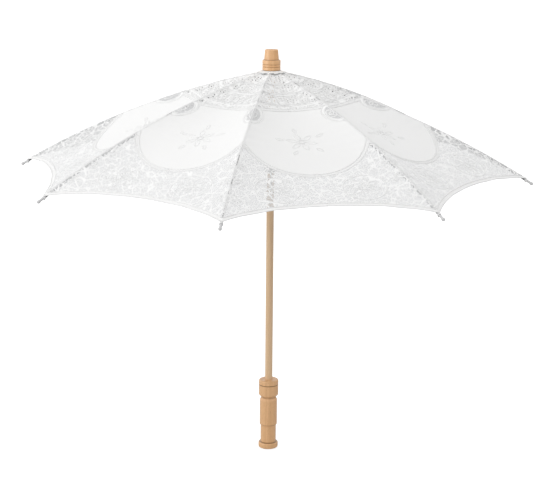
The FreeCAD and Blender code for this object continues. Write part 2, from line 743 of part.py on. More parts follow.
halves = {}
for side, name in ((1, "left"), (-1, "right")):
    seam = doc.addObject("Part::Circle", "seam_" + name)
    seam.Radius = seam_arc
    seam.Angle1 = 90.0 - math.degrees(seam_slope + seam_bend + over)
    seam.Angle2 = 90.0 - math.degrees(seam_slope - seam_bend - 2.0 / seam_arc)
    seam.Placement = at(seam_x, side * dim("seam_gap"), seam_z, X_AXIS, 90)
    crease = doc.addObject("Part::Line", "crease_" + name)
    bind(
        crease,
        X1="Dims.cloth_centre_radius + (Dims.cloth_middle_radius - Dims.cloth_centre_radius) * %.6f" % stretch,
        Z1="Dims.cloth_centre_height - (Dims.cloth_centre_height - Dims.cloth_middle_height) * %.6f" % stretch,
        X2="Dims.cloth_centre_radius - (Dims.cloth_middle_radius - Dims.cloth_centre_radius) * %.6f" % back,
        Z2="Dims.cloth_centre_height + (Dims.cloth_centre_height - Dims.cloth_middle_height) * %.6f" % back,
        Y1="%d * Dims.crease_gap" % -side,
        Y2="%d * Dims.crease_gap" % -side,
    )
    crease.Placement = around(side * STEP / 2)
    ruled = doc.addObject("Part::RuledSurface", "spread_" + name)
    ruled.Curve1 = (seam, ["Edge1"])
    ruled.Curve2 = (crease, ["Edge1"])
    sheet_solid = doc.addObject("Part::Extrusion", "cloth_" + name)
    sheet_solid.Base = ruled
    sheet_solid.DirMode = "Custom"
    sheet_solid.Dir = Z_AXIS
    sheet_solid.setExpression("LengthFwd", "Dims.cloth_thickness")
    sheet_solid.Solid = True
    turn = around(side * STEP / 2)
    hem = doc.addObject("Part::Cylinder", "hem_" + name)
    hem.Radius = hem_arc
    hem.Height = 400.0
    hem.Placement = turn * at(hem_x, 0, 350.0)
    hub = cylinder("hub_" + name, "Dims.cloth_centre_radius", "100", at(0, 0, 590.0))
    halves[name] = (sheet_solid, fuse("trim_" + name, hem, hub))

for index in range(COUNT):
    for name in ("left", "right"):
        solid, trim = halves[name]
        label = "canopy_%d_%s" % (index + 1, name)
        keep(cut(label, solid, trim), label, around(index * STEP))

doc.recompute()

# ---------------------------------------------------------------- checks and export

for obj in doc.Objects:
    if "Invalid" in obj.State or "Error" in obj.State:
        raise ValueError("%s failed: %s" % (obj.Label, obj.State))

for node in NODES:
    if node.Shape.isNull():
        raise ValueError(node.Label + " is empty")
    if not node.Shape.isValid():
        raise ValueError(node.Label + " is not valid")
    if len(node.Shape.Solids) != 1:
        raise ValueError("%s has %d solids" % (node.Label, len(node.Shape.Solids)))

os.makedirs("parts", exist_ok=True)
for node in NODES:
    node.Shape.exportStep("parts/%s.step" % node.Label)
    print("%-18s %10.1f mm3" % (node.Label, node.Shape.Volume))
print("%d nodes" % len(NODES))
print("rivet at r %.3f z %.3f, runner at z %.3f" % (rivet_radius_out, rivet_height, runner_height))
print("catch pivot at z %.3f, azimuth %.2f" % (catch_foot, catch_azimuth))
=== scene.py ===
"""Lace parasol: the canopy, its sewing and the finishes of every part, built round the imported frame."""

import json
import math
from functools import partialmethod

import bpy
import numpy as np
from mathutils import Matrix, Vector


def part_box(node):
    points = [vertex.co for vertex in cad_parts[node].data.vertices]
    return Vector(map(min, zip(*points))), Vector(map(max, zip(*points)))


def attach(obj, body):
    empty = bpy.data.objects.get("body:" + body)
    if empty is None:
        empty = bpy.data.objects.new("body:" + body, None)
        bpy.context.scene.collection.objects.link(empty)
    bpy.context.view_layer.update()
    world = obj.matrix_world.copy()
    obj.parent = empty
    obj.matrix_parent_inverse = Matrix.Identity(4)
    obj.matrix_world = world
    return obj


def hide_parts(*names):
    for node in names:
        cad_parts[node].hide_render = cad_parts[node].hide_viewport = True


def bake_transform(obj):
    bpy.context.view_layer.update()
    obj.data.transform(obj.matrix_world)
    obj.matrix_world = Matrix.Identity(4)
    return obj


bl_info = {
    "name": "Lace Parasol",
    "version": (1, 0, 0),
    "blender": (4, 5, 0),
    "location": "View3D > Sidebar > Parasol",
    "description": "Makes the lace canopy, its sewing and the finishes of a folding wooden parasol",
    "category": "Object",
}

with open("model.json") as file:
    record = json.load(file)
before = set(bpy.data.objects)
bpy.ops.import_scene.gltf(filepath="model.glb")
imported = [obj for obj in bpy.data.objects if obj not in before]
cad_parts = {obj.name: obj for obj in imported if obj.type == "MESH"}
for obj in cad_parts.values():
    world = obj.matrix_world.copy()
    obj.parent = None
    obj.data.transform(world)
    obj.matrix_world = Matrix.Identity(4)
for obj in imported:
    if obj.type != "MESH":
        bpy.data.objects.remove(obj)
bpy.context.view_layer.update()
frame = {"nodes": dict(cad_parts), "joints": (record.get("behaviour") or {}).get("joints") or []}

RIBS = 8
HALF_GORE = math.radians(22.5)
GORE = 2 * HALF_GORE
HANDS = (("left", 1), ("right", -1))
# Distance that each folded crease keeps from the plane half-way between two ribs.
CREASE_CLEARANCE = 0.0004
# Width of the strip that bends beside a seam, as a share of half a gore's width, from the top (0) to the hem (1).
HINGE_WIDTH = ((0.0, 0.2, 0.4, 0.6, 0.8, 0.9, 1.0), (0.56, 0.50, 0.43, 0.35, 0.27, 0.21, 0.145))

# Stage: the floor, the light from the surroundings that only the camera sees, and the large soft light.
FLOOR_RADIUS = 14.0
FLOOR_GLOW = 0.66
BACKDROP = 1.05
KEY_PLACE = Vector((-3.2, -2.2, 0.7))
KEY_TARGET = Vector((0, 0, 0.3))
KEY_SIZE = 2.4

# Lines burnt into the turned wood: height above the piece's foot, half width, depth of tone.
HANDLE_LINES = ((0.1105, 0.0009, 0.95), (0.0885, 0.0018, 0.35), (0.0100, 0.0011, 0.75), (0.0410, 0.0008, 0.55))
FINIAL_LINES = ((0.0052, 0.0007, 0.42), (0.0090, 0.0007, 0.42), (0.0163, 0.0008, 0.6))

# Rings of almond petals in a medallion: turn, petals, distance of their middle, half length, half width.
PETAL_RINGS = ((0.26, 6, 0.0140, 0.0088, 0.0040), (0.8, 5, 0.0320, 0.0062, 0.0029))
# The round motif below a medallion, on the flat cloth.
ROUND_MOTIF = (0.064, 0.338)
ROUND_MOTIF_ACROSS, ROUND_MOTIF_ALONG = 0.0320, 0.0290
# Each seam's two cords lie this far from it.
SEAM_CORD_OFF = 0.0016
# A seam is tied to its rib at these shares of its length, with turns of this radius.
TIES = (("upper", 0.36), ("lower", 0.73))
TIE_RADIUS = 0.00205
# A flat distance that is off every gore, for points to be left out.
OFF_CLOTH = 9.0


# ------------------------------------------------------------------ sizes and colours

def length(name, text, value):
    return bpy.props.FloatProperty(name=name, description=text, default=value, unit="LENGTH", precision=4)


def colour(name, text, value):
    return bpy.props.FloatVectorProperty(
        name=name, description=text, default=value, subtype="COLOR", size=3, min=0.0, max=1.0)


def angle(name, text, degrees):
    return bpy.props.FloatProperty(name=name, description=text, default=math.radians(degrees), subtype="ANGLE")


class ParasolCanopySizes(bpy.types.PropertyGroup):
    centre_radius: length("Centre radius", "Hole in the middle of the canopy", 0.007)
    centre_height: length("Centre height", "Height of the canopy at that hole", 0.6363)
    corner_radius: length("Corner radius", "Distance of a gore's corner from the shaft", 0.4061)
    corner_height: length("Corner height", "Height of a gore's corner", 0.4786)
    seam_rise: length("Seam rise", "How far a seam arches above its chord", 0.017)
    hem_radius: length("Hem radius", "Distance of the middle of a gore's hem from the shaft", 0.355)
    hem_height: length("Hem height", "Height of the middle of a gore's hem", 0.487)
    lift: length("Lift", "Height of the cloth's middle above its underside", 0.00045)
    pucker: length("Pucker", "Depth of the small gathers along a seam", 0.00055)
    gore_half_width: length("Half gore width", "Flat width of half a gore at its hem", 0.157)
    gore_middle: length("Gore middle", "Flat length of a gore down its middle", 0.3786)
    gore_corner: length("Gore corner", "How much longer a gore is beside its seams", 0.0219)


class ParasolLaceSizes(bpy.types.PropertyGroup):
    medallion_centre: length("Medallion centre", "Flat distance of a medallion's middle from the top", 0.212)
    medallion_across: length("Medallion half width", "Half of a medallion's width", 0.092)
    medallion_along: length("Medallion half length", "Half of a medallion's length", 0.087)
    hem_band: length("Hem band", "Width of the hem", 0.0075)
    net_cell: length("Net cell", "Width of one hole of the fine net", 0.0021)
    open_cell: length("Open net cell", "Width of one hole of the open net near the top", 0.0046)
    scroll: length("Scroll", "Spacing of the scrolling threads", 0.0076)
    motif_centre: length("Motif centre", "Flat distance of the small oval motif on a seam from the top", 0.156)
    motif_across: length("Motif half width", "Half of that motif's width", 0.0165)
    motif_along: length("Motif half length", "Half of that motif's length", 0.0235)
    branch: length("Branch spacing", "Spacing of the branching threads", 0.0125)
    flower: length("Flower spacing", "Spacing of the small flowers", 0.036)


class ParasolColours(bpy.types.PropertyGroup):
    cloth: colour("Cloth", "Cotton of the medallions", (0.900, 0.899, 0.895))
    # Its grey is painted shade: the shade seen through and between the fine net's threads.
    net: colour("Net", "Fine net between the threads", (0.670, 0.672, 0.676))
    thread: colour("Thread", "Raised satin thread", (0.925, 0.925, 0.922))
    shaft: colour("Shaft", "Pale dowel", (0.790, 0.560, 0.345))
    shaft_dark: colour("Shaft grain", "Darker grain of the dowel", (0.640, 0.415, 0.235))
    turned: colour("Turned wood", "Varnished beech", (0.830, 0.500, 0.255))
    turned_dark: colour("Turned wood grain", "Darker grain of the varnished beech", (0.600, 0.320, 0.135))
    steel: colour("Ribs", "Near-black steel", (0.045, 0.046, 0.050))
    wire: colour("Wire", "Bright wire", (0.62, 0.62, 0.61))
    plastic: colour("Plastic", "White moulded plastic", (0.74, 0.74, 0.735))
    tip: colour("Tips", "Grey white moulded plastic", (0.64, 0.64, 0.645))


class ParasolStage(bpy.types.PropertyGroup):
    floor: colour("Floor", "Colour of the floor", (0.62, 0.62, 0.62))
    camera_place: bpy.props.FloatVectorProperty(
        name="Camera place", description="Where the camera stands",
        default=(0.3957, -2.4014, 0.9261), subtype="TRANSLATION")
    camera_heading: angle("Heading", "Direction of view, round from +X", 99.161)
    camera_pitch: angle("Pitch", "How far the camera looks down", 13.123)
    camera_roll: angle("Roll", "Turn of the camera about its view", 0.553)
    lens: bpy.props.FloatProperty(
        name="Lens", description="Focal length on a 36 mm sensor", default=99.88, unit="CAMERA")
    sky: bpy.props.FloatProperty(name="Sky", description="Strength of the surrounding light", default=1.04)
    key: bpy.props.FloatProperty(
        name="Key", description="Power of the large soft light", default=30.0, unit="POWER")


# ------------------------------------------------------------------ material helpers

class Nodes:
    """Adds nodes to one tree and links them; a value may be a socket or a number."""

    def __init__(self, tree):
        self.tree = tree
        self.count = 0

    def node(self, kind, **settings):
        n = self.tree.nodes.new(kind)
        for name, value in settings.items():
            setattr(n, name, value)
        n.location = (190 * (self.count % 12), -220 * (self.count // 12))
        self.count += 1
        return n

    def feed(self, socket, value):
        if isinstance(value, bpy.types.NodeSocket):
            self.tree.links.new(value, socket)
        elif value is not None:
            socket.default_value = value

    def math(self, operation, a, b=None, c=None, clamp=False):
        n = self.node("ShaderNodeMath", operation=operation, use_clamp=clamp)
        for socket, value in zip(n.inputs, (a, b, c)):
            self.feed(socket, value)
        return n.outputs[0]

    add = partialmethod(math, "ADD")
    sub = partialmethod(math, "SUBTRACT")
    mul = partialmethod(math, "MULTIPLY")
    div = partialmethod(math, "DIVIDE")
    abs = partialmethod(math, "ABSOLUTE")
    max = partialmethod(math, "MAXIMUM")
    sin = partialmethod(math, "SINE")
    cos = partialmethod(math, "COSINE")

    def vector(self, operation, a, b=None, scale=None):
        n = self.node("ShaderNodeVectorMath", operation=operation)
        self.feed(n.inputs[0], a)
        self.feed(n.inputs[1], b)
        if scale is not None:
            self.feed(n.inputs["Scale"], scale)
        return n.outputs["Value"] if operation in ("LENGTH", "DOT_PRODUCT", "DISTANCE") else n.outputs["Vector"]

    def split(self, v):
        n = self.node("ShaderNodeSeparateXYZ")
        self.feed(n.inputs[0], v)
        return n.outputs

    def join(self, x, y, z=0.0):
        n = self.node("ShaderNodeCombineXYZ")
        for socket, value in zip(n.inputs, (x, y, z)):
            self.feed(socket, value)
        return n.outputs[0]

    def step(self, value, low, high):
        """0 below low, 1 above high, smooth between; it falls when low is above high."""
        n = self.node("ShaderNodeMapRange", interpolation_type="SMOOTHSTEP")
        self.feed(n.inputs["Value"], value)
        flip = low > high
        self.feed(n.inputs["From Min"], high if flip else low)
        self.feed(n.inputs["From Max"], low if flip else high)
        self.feed(n.inputs["To Min"], 1.0 if flip else 0.0)
        self.feed(n.inputs["To Max"], 0.0 if flip else 1.0)
        return n.outputs["Result"]

    def mix(self, factor, a, b):
        n = self.node("ShaderNodeMix", data_type="RGBA")
        self.feed(n.inputs[0], factor)
        self.feed(n.inputs[6], rgba(a))
        self.feed(n.inputs[7], rgba(b))
        return n.outputs[2]

    def mix_numbers(self, factor, a, b):
        n = self.node("ShaderNodeMix", data_type="FLOAT")
        self.feed(n.inputs[0], factor)
        self.feed(n.inputs[2], a)
        self.feed(n.inputs[3], b)
        return n.outputs[0]

    def noise(self, v, scale, detail=2.0, rough=0.5, distortion=0.0):
        n = self.node("ShaderNodeTexNoise")
        self.feed(n.inputs["Vector"], v)
        self.feed(n.inputs["Scale"], scale)
        self.feed(n.inputs["Detail"], detail)
        self.feed(n.inputs["Roughness"], rough)
        self.feed(n.inputs["Distortion"], distortion)
        return n.outputs[0]

    def wander(self, v, scale):
        """A direction that changes slowly from place to place."""
        noise = self.node("ShaderNodeTexNoise")
        self.feed(noise.inputs["Vector"], v)
        self.feed(noise.inputs["Scale"], scale)
        return self.vector("SUBTRACT", noise.outputs["Color"], (0.5, 0.5, 0.5))

    def most(self, *values):
        out = values[0]
        for v in values[1:]:
            out = self.max(out, v)
        return out

    def use(self, group, **inputs):
        n = self.node("ShaderNodeGroup", node_tree=group)
        for name, value in inputs.items():
            self.feed(n.inputs[name.replace("_", " ")], value)
        return n.outputs

    def bump(self, height, strength, distance):
        n = self.node("ShaderNodeBump")
        self.feed(n.inputs["Height"], height)
        n.inputs["Strength"].default_value = strength
        n.inputs["Distance"].default_value = distance
        return n.outputs[0]


def rgba(value):
    if isinstance(value, bpy.types.NodeSocket) or value is None:
        return value
    return (*value[:3], 1.0)


def shader_group(name, outputs, **inputs):
    """A node group that takes a vector and the numbers and vectors named in inputs, and gives the numbers in outputs.

    Returns the group, its Nodes, its inputs and a function that feeds its outputs.
    """
    tree = bpy.data.node_groups.new(name, "ShaderNodeTree")
    tree.interface.new_socket(name="Vector", in_out="INPUT", socket_type="NodeSocketVector")
    for title, value in inputs.items():
        kind = "NodeSocketFloat" if isinstance(value, float) else "NodeSocketVector"
        tree.interface.new_socket(name=title.replace("_", " "), in_out="INPUT", socket_type=kind).default_value = value
    for title in outputs.split():
        tree.interface.new_socket(name=title, in_out="OUTPUT", socket_type="NodeSocketFloat")
    n = Nodes(tree)
    entry = n.node("NodeGroupInput").outputs
    leave = n.node("NodeGroupOutput")

    def give(**values):
        for title, value in values.items():
            n.feed(leave.inputs[title.replace("_", " ")], value)

    return tree, n, entry, give


def net_group():
    """A six-sided net: three waves at 60 degrees leave round holes in rows."""
    tree, n, i, give = shader_group("Net threads", "Mask Height", Cell=0.002, Thread=0.5)
    turn = n.div(2 * math.pi / 0.866, i["Cell"])
    total = None
    for angle in (0, 60, 120):
        a = math.radians(angle)
        along = n.vector("DOT_PRODUCT", i["Vector"], (math.cos(a), math.sin(a), 0.0))
        wave = n.cos(n.mul(along, turn))
        total = wave if total is None else n.add(total, wave)
    edge = n.sub(total, n.mul(i["Thread"], 3.0))
    give(Mask=n.step(edge, 0.2, -0.2), Height=n.step(edge, 1.0, -1.2))
    return tree


def oval_group():
    """Signed distance to an oval, negative inside."""
    tree, n, i, give = shader_group("Oval", "Distance", Centre=(0, 0, 0), Across=0.03, Along=0.03)
    d = n.split(n.vector("SUBTRACT", i["Vector"], i["Centre"]))
    u, v = n.div(d[0], i["Across"]), n.div(d[1], i["Along"])
    r = n.vector("LENGTH", n.join(u, v))
    give(Distance=n.mul(n.sub(r, 1.0), n.math("MINIMUM", i["Across"], i["Along"])))
    return tree


def scroll_group():
    """Threads that wander in scrolls, as the level lines of a slow noise."""
    tree, n, i, give = shader_group("Scroll threads", "Mask Height", Spacing=0.008, Width=0.13)
    scale = n.div(0.36, i["Spacing"])
    field = n.noise(i["Vector"], scale, detail=1.0, rough=0.35, distortion=0.7)
    level = n.math("PINGPONG", n.mul(field, 9.0), 0.5)
    far = n.sub(level, i["Width"])
    give(Mask=n.step(far, 0.02, -0.02), Height=n.step(far, 0.05, -0.12))
    return tree


def flower_group():
    """Small six-petalled flowers, one to a cell: outlined petals, a ring and an open middle."""
    tree, n, i, give = shader_group("Small flowers", "Area Thread", Spacing=0.036, Size=0.0105)
    v = n.node("ShaderNodeTexVoronoi", voronoi_dimensions="3D", feature="F1")
    n.feed(v.inputs["Vector"], i["Vector"])
    n.feed(v.inputs["Scale"], n.div(1.0, i["Spacing"]))
    v.inputs["Randomness"].default_value = 0.55
    d = n.split(n.vector("SUBTRACT", i["Vector"], v.outputs["Position"]))
    r = n.vector("LENGTH", n.join(d[0], d[1]))
    angle = n.math("ARCTAN2", d[1], d[0])
    lobe = n.abs(n.cos(n.mul(angle, 3.0)))
    edge = n.mul(i["Size"], n.add(0.62, n.mul(lobe, 0.38)))
    out = n.sub(r, edge)
    outline = n.step(n.abs(out), 0.0011, 0.0006)
    inner = n.step(n.abs(n.sub(r, n.mul(i["Size"], 0.30))), 0.0010, 0.0005)
    vein = n.mul(n.step(lobe, 0.16, 0.08), n.step(out, 0.0, -0.001))
    give(Area=n.step(out, 0.0009, 0.0002), Thread=n.most(outline, inner, vein))
    return tree


def petals_group():
    """Almond petals round a middle; Slit is the middle of each petal, which the lace darkens as painted shade of open
    cutwork, Rim the sewn edge.
    """
    tree, n, i, give = shader_group(
        "Almond petals", "Slit Rim",
        Centre=(0, 0, 0), Petals=6.0, Middle=0.017, Reach=0.010, Half_Width=0.0042, Turn=0.0)
    d = n.split(n.vector("SUBTRACT", i["Vector"], i["Centre"]))
    r = n.vector("LENGTH", n.join(d[0], d[1]))
    angle = n.sub(n.math("ARCTAN2", d[1], d[0]), i["Turn"])
    share = n.div(2 * math.pi, i["Petals"])
    nearest = n.mul(n.math("ROUND", n.div(angle, share)), share)
    off = n.sub(angle, nearest)
    u = n.div(n.sub(n.mul(r, n.cos(off)), i["Middle"]), i["Reach"])
    w = n.abs(n.mul(r, n.sin(off)))
    room = n.mul(i["Half Width"], n.sub(1.0, n.mul(u, u)))
    gap = n.sub(w, room)
    give(Slit=n.step(gap, -0.0014, -0.0019), Rim=n.step(n.abs(n.add(gap, 0.0004)), 0.0016, 0.0009))
    return tree


def weave_group():
    """Plain weave: over and under threads with a little slub."""
    tree, n, i, give = shader_group("Plain weave", "Height Slub", Thread=0.0005)
    turn = n.div(math.pi, i["Thread"])
    wobble = n.noise(i["Vector"], 260.0, detail=1.0)
    p = n.split(i["Vector"])
    a = n.sin(n.add(n.mul(p[0], turn), wobble))
    b = n.sin(n.add(n.mul(p[1], turn), wobble))
    slub = n.noise(n.vector("MULTIPLY", i["Vector"], (40.0, 900.0, 1.0)), 1.0, detail=2.0)
    give(Height=n.add(n.mul(n.mul(a, b), 0.5), 0.5), Slub=slub)
    return tree


def grain_group():
    """Beech: slow bands along the length, fine pores and short flecks."""
    tree, n, i, give = shader_group("Beech grain", "Band Fleck Height", Bands=90.0, Flecks=0.5)
    long_way = n.vector("MULTIPLY", i["Vector"], (1.0, 1.0, 0.07))
    bent = n.noise(long_way, 60.0, detail=2.0)
    ring = n.add(n.mul(n.split(long_way)[0], i["Bands"]), n.mul(bent, 3.2))
    band = n.add(n.mul(n.sin(n.mul(ring, 6.0)), 0.5), 0.5)
    fine = n.noise(n.vector("MULTIPLY", i["Vector"], (1.0, 1.0, 0.035)), 900.0, detail=3.0, rough=0.6)
    spots = n.noise(n.vector("MULTIPLY", i["Vector"], (1.0, 1.0, 0.16)), 1300.0, detail=1.0)
    fleck = n.mul(n.step(spots, 0.60, 0.68), i["Flecks"])
    give(Band=n.add(n.mul(band, 0.55), n.mul(fine, 0.45)), Fleck=fleck, Height=n.sub(fine, fleck))
    return tree


def scuff_group():
    """Handling marks: faint smears and a few fine scratches."""
    tree, n, i, give = shader_group("Handling marks", "Smear Scratch", Size=0.02)
    scale = n.div(1.0, i["Size"])
    smear = n.noise(i["Vector"], scale, detail=4.0, rough=0.6, distortion=0.4)
    lines = n.noise(n.vector("MULTIPLY", i["Vector"], (1.0, 0.12, 1.0)), n.mul(scale, 14.0), detail=1.0)
    give(Smear=smear, Scratch=n.step(lines, 0.70, 0.76))
    return tree


GROUP_MAKERS = {
    "net": net_group, "oval": oval_group, "scroll": scroll_group, "flower": flower_group,
    "petals": petals_group, "weave": weave_group, "grain": grain_group, "scuff": scuff_group,
}
groups = {}


def group(key):
    if key not in groups:
        groups[key] = GROUP_MAKERS[key]()
    return groups[key]


def new_material(name, roughness, **sockets):
    """A material with one Principled shader. Returns the material, its Nodes and the shader."""
    m = bpy.data.materials.new(name)
    m.use_nodes = True
    shader = m.node_tree.nodes["Principled BSDF"]
    shader.location = (2600, 0)
    m.node_tree.nodes["Material Output"].location = (2900, 0)
    shader.inputs["Roughness"].default_value = roughness
    for title, value in sockets.items():
        shader.inputs[title.replace("_", " ")].default_value = value
    return m, Nodes(m.node_tree), shader


def named_material(name):
    found = bpy.data.materials.get(name)
    if found is None:
        raise RuntimeError(f"the finish {name!r} has not been made yet")
    return found


def put_finish(node, material):
    """Gives a carried-over part its finish."""
    o = frame["nodes"][node]
    if not o.material_slots:
        o.data.materials.append(material)
    for slot in o.material_slots:
        slot.material = material


# ------------------------------------------------------------------ lace finishes

def lace_cloth_material(lace, colours):
    """White lace: close cotton medallions and hem, with net, scrolling threads and small flowers between them."""
    m, n, shader = new_material("Lace cloth", 0.82, Sheen_Weight=0.15, Sheen_Roughness=0.5)
    at = n.node("ShaderNodeAttribute", attribute_name="lace_flat").outputs["Vector"]
    margin = n.split(n.node("ShaderNodeAttribute", attribute_name="lace_edge").outputs["Vector"])
    p = n.split(at)
    mirrored = n.join(n.abs(p[0]), p[1])
    flat = n.join(p[0], p[1])
    middle = (0, lace.medallion_centre, 0)

    def oval(vector, centre, across, along):
        return n.use(group("oval"), Vector=vector, Centre=centre, Across=across, Along=along)["Distance"]

    medallion = oval(flat, middle, lace.medallion_across, lace.medallion_along)
    motif = oval(n.join(margin[1], p[1]), (0, lace.motif_centre, 0), lace.motif_across, lace.motif_along)
    motif_rim = n.step(n.abs(n.add(motif, 0.002)), 0.0026, 0.0021)
    motif_in = n.step(motif, 0.0, -0.0006)
    clear = n.sub(1.0, motif_in)
    inside = n.mul(n.step(medallion, 0.0005, -0.0005), clear)
    rim = n.mul(n.step(medallion, 0.0062, 0.0055), clear)

    # The embroidered spray in the middle of a medallion.
    rings = [
        n.use(group("petals"), Vector=flat, Centre=middle,
              Petals=petals, Middle=far, Reach=reach, Half_Width=half, Turn=turn)
        for turn, petals, far, reach, half in PETAL_RINGS
    ]
    petal_middle_shade = n.most(*(ring["Slit"] for ring in rings))
    spray = n.most(*(ring["Rim"] for ring in rings))

    # Net, scrolling threads and flowers.
    fine = n.use(group("net"), Vector=flat, Cell=lace.net_cell, Thread=0.34)
    wide = n.use(group("net"), Vector=flat, Cell=lace.open_cell, Thread=0.60)
    near_top = n.step(p[1], 0.150, 0.118)
    scroll = n.use(group("scroll"), Vector=at, Spacing=lace.scroll, Width=0.070)
    flower = n.use(group("flower"), Vector=at, Spacing=lace.flower, Size=0.0105)

    # Curved tapes: the round motif, a scallop over each medallion, and two rings round the top.
    above = n.step(p[1], 0.200, 0.190)
    tapes = []
    for centre, across, along, half, only_above in (
        ((*ROUND_MOTIF, 0), ROUND_MOTIF_ACROSS, ROUND_MOTIF_ALONG, 0.0011, False),
        (middle, 0.108, 0.101, 0.0024, True),
        ((0, 0, 0), 0.078, 0.078, 0.0026, False),
        ((0, 0, 0), 0.046, 0.046, 0.0018, False),
    ):
        band = n.step(n.abs(oval(mirrored, centre, across, along)), half + 0.0003, half - 0.0002)
        tapes.append(n.mul(band, above) if only_above else band)
    tape = n.most(*tapes, motif_rim)
    hem = n.step(margin[0], lace.hem_band + 0.0002, lace.hem_band - 0.0002)
    seam = n.step(margin[1], 0.0030, 0.0026)
    patch = n.step(n.noise(n.join(p[1], n.mul(p[2], 7.0)), 24.0, detail=2.0), 0.545, 0.585)
    gap = n.mul(n.step(margin[1], 0.0011, 0.0008), patch)
    seam = n.mul(seam, n.sub(1.0, gap))

    # What closes the holes.
    branch = n.node("ShaderNodeTexVoronoi", feature="DISTANCE_TO_EDGE")
    wander = n.vector("SCALE", n.wander(at, 60.0), scale=0.0035)
    n.feed(branch.inputs["Vector"], n.vector("ADD", at, wander))
    n.feed(branch.inputs["Scale"], 1 / lace.branch)
    branching = n.step(branch.outputs["Distance"], 0.092, 0.060)
    leafy = n.mul(n.max(scroll["Mask"], branching), n.sub(1.0, n.max(flower["Area"], motif_in)))
    ground = n.max(n.mul(fine["Mask"], n.sub(1.0, near_top)), n.mul(wide["Mask"], near_top))
    ground = n.max(ground, n.mul(n.most(fine["Mask"], wide["Mask"]), motif_in))
    threads = n.most(leafy, flower["Thread"], tape)
    closed = n.max(ground, threads)
    cloth = n.mul(inside, n.sub(1.0, gap))
    open_part = n.mul(n.mul(closed, n.sub(1.0, inside)), n.sub(1.0, gap))
    n.feed(shader.inputs["Alpha"], n.most(cloth, open_part, hem, seam, n.sub(rim, inside, clamp=True)))

    # Colour: net painted greyer than thread, as painted shade seen through and between its threads; cotton even with a
    # slow change of tone.
    slow = n.noise(at, 14.0, detail=2.0)
    weave = n.use(group("weave"), Vector=flat, Thread=0.00042)
    solid = n.most(inside, hem, rim)
    # Painted shade on the net: the grey net colour over most of the gore, 0.93 of the cloth's tone near the top.
    net_tone_with_painted_shade = n.mix(near_top, colours.net, tuple(0.93 * c for c in colours.cloth))
    tone = n.mix(n.most(threads, solid), net_tone_with_painted_shade, colours.thread)
    cotton = n.mix(n.mul(slow, 0.5), colours.cloth, tuple(0.965 * c for c in colours.cloth))
    cotton = n.mix(n.mul(weave["Slub"], 0.14), cotton, tuple(0.90 * c for c in colours.cloth))
    # Painted shade: the middle of each petal is darkened, a little less where the fine net's threads lie.
    cotton = n.mix(n.mul(petal_middle_shade, n.sub(1.0, n.mul(fine["Mask"], 0.5))), cotton, tuple(0.975 * c for c in colours.cloth))
    tone = n.mix(solid, tone, n.mix(spray, cotton, colours.thread))
    n.feed(shader.inputs["Base Color"], tone)

    # Relief.
    raised = n.most(n.mul(n.max(scroll["Height"], branching), n.sub(1.0, flower["Area"])), flower["Thread"], tape)
    outer = n.add(n.mul(raised, 0.8), n.mul(fine["Height"], 0.2))
    inner = n.add(n.mul(weave["Height"], 0.16), n.mul(spray, 0.35))
    n.feed(shader.inputs["Normal"], n.bump(n.mix_numbers(solid, outer, inner), 0.75, 0.0006))
    return m


def thread_material(colours):
    """Satin stitch: close turns of thread laid across the line they follow."""
    m, n, shader = new_material("Satin thread", 0.55, Sheen_Weight=0.25, Sheen_Roughness=0.4)
    p = n.split(n.node("ShaderNodeAttribute", attribute_name="thread_run").outputs["Vector"])
    turns = n.sin(n.add(n.mul(p[0], 2 * math.pi / 0.00065), n.mul(p[1], 2.2)))
    lift = n.add(n.mul(turns, 0.5), 0.5)
    patch = n.noise(n.join(n.mul(p[0], 70.0), p[1]), 1.0, detail=2.0)
    # Painted shade: the colour is darker in the grooves between the turns.
    base = n.mix(lift, tuple(0.93 * c for c in colours.thread), colours.thread)
    n.feed(shader.inputs["Base Color"], n.mix(n.mul(patch, 0.25), base, tuple(0.95 * c for c in colours.thread)))
    n.feed(shader.inputs["Normal"], n.bump(lift, 0.5, 0.00025))
    return m


def tape_material(colours):
    """Narrow cotton tape with a row of running stitches down each edge."""
    m, n, shader = new_material("Seam tape", 0.8, Sheen_Weight=0.15)
    at = n.node("ShaderNodeAttribute", attribute_name="thread_run").outputs["Vector"]
    p = n.split(at)
    weave = n.use(group("weave"), Vector=at, Thread=0.00045)
    row = n.step(n.abs(n.sub(n.abs(p[1]), 0.0011)), 0.00030, 0.00016)
    dash = n.step(n.math("PINGPONG", p[0], 0.0014), 0.00035, 0.0006)
    stitch = n.mul(row, dash)
    hole = n.mul(row, n.sub(1.0, dash))
    base = n.mix(stitch, tuple(0.97 * c for c in colours.cloth), colours.thread)
    # Painted shade: the sunk gaps between the stitches are darkened.
    n.feed(shader.inputs["Base Color"], n.mix(n.mul(hole, 0.55), base, tuple(0.62 * c for c in colours.cloth)))
    height = n.sub(n.add(n.mul(weave["Height"], 0.18), n.mul(stitch, 0.8)), n.mul(hole, 0.7))
    n.feed(shader.inputs["Normal"], n.bump(height, 0.6, 0.0003))
    return m


# ------------------------------------------------------------------ wood, metal and plastic finishes

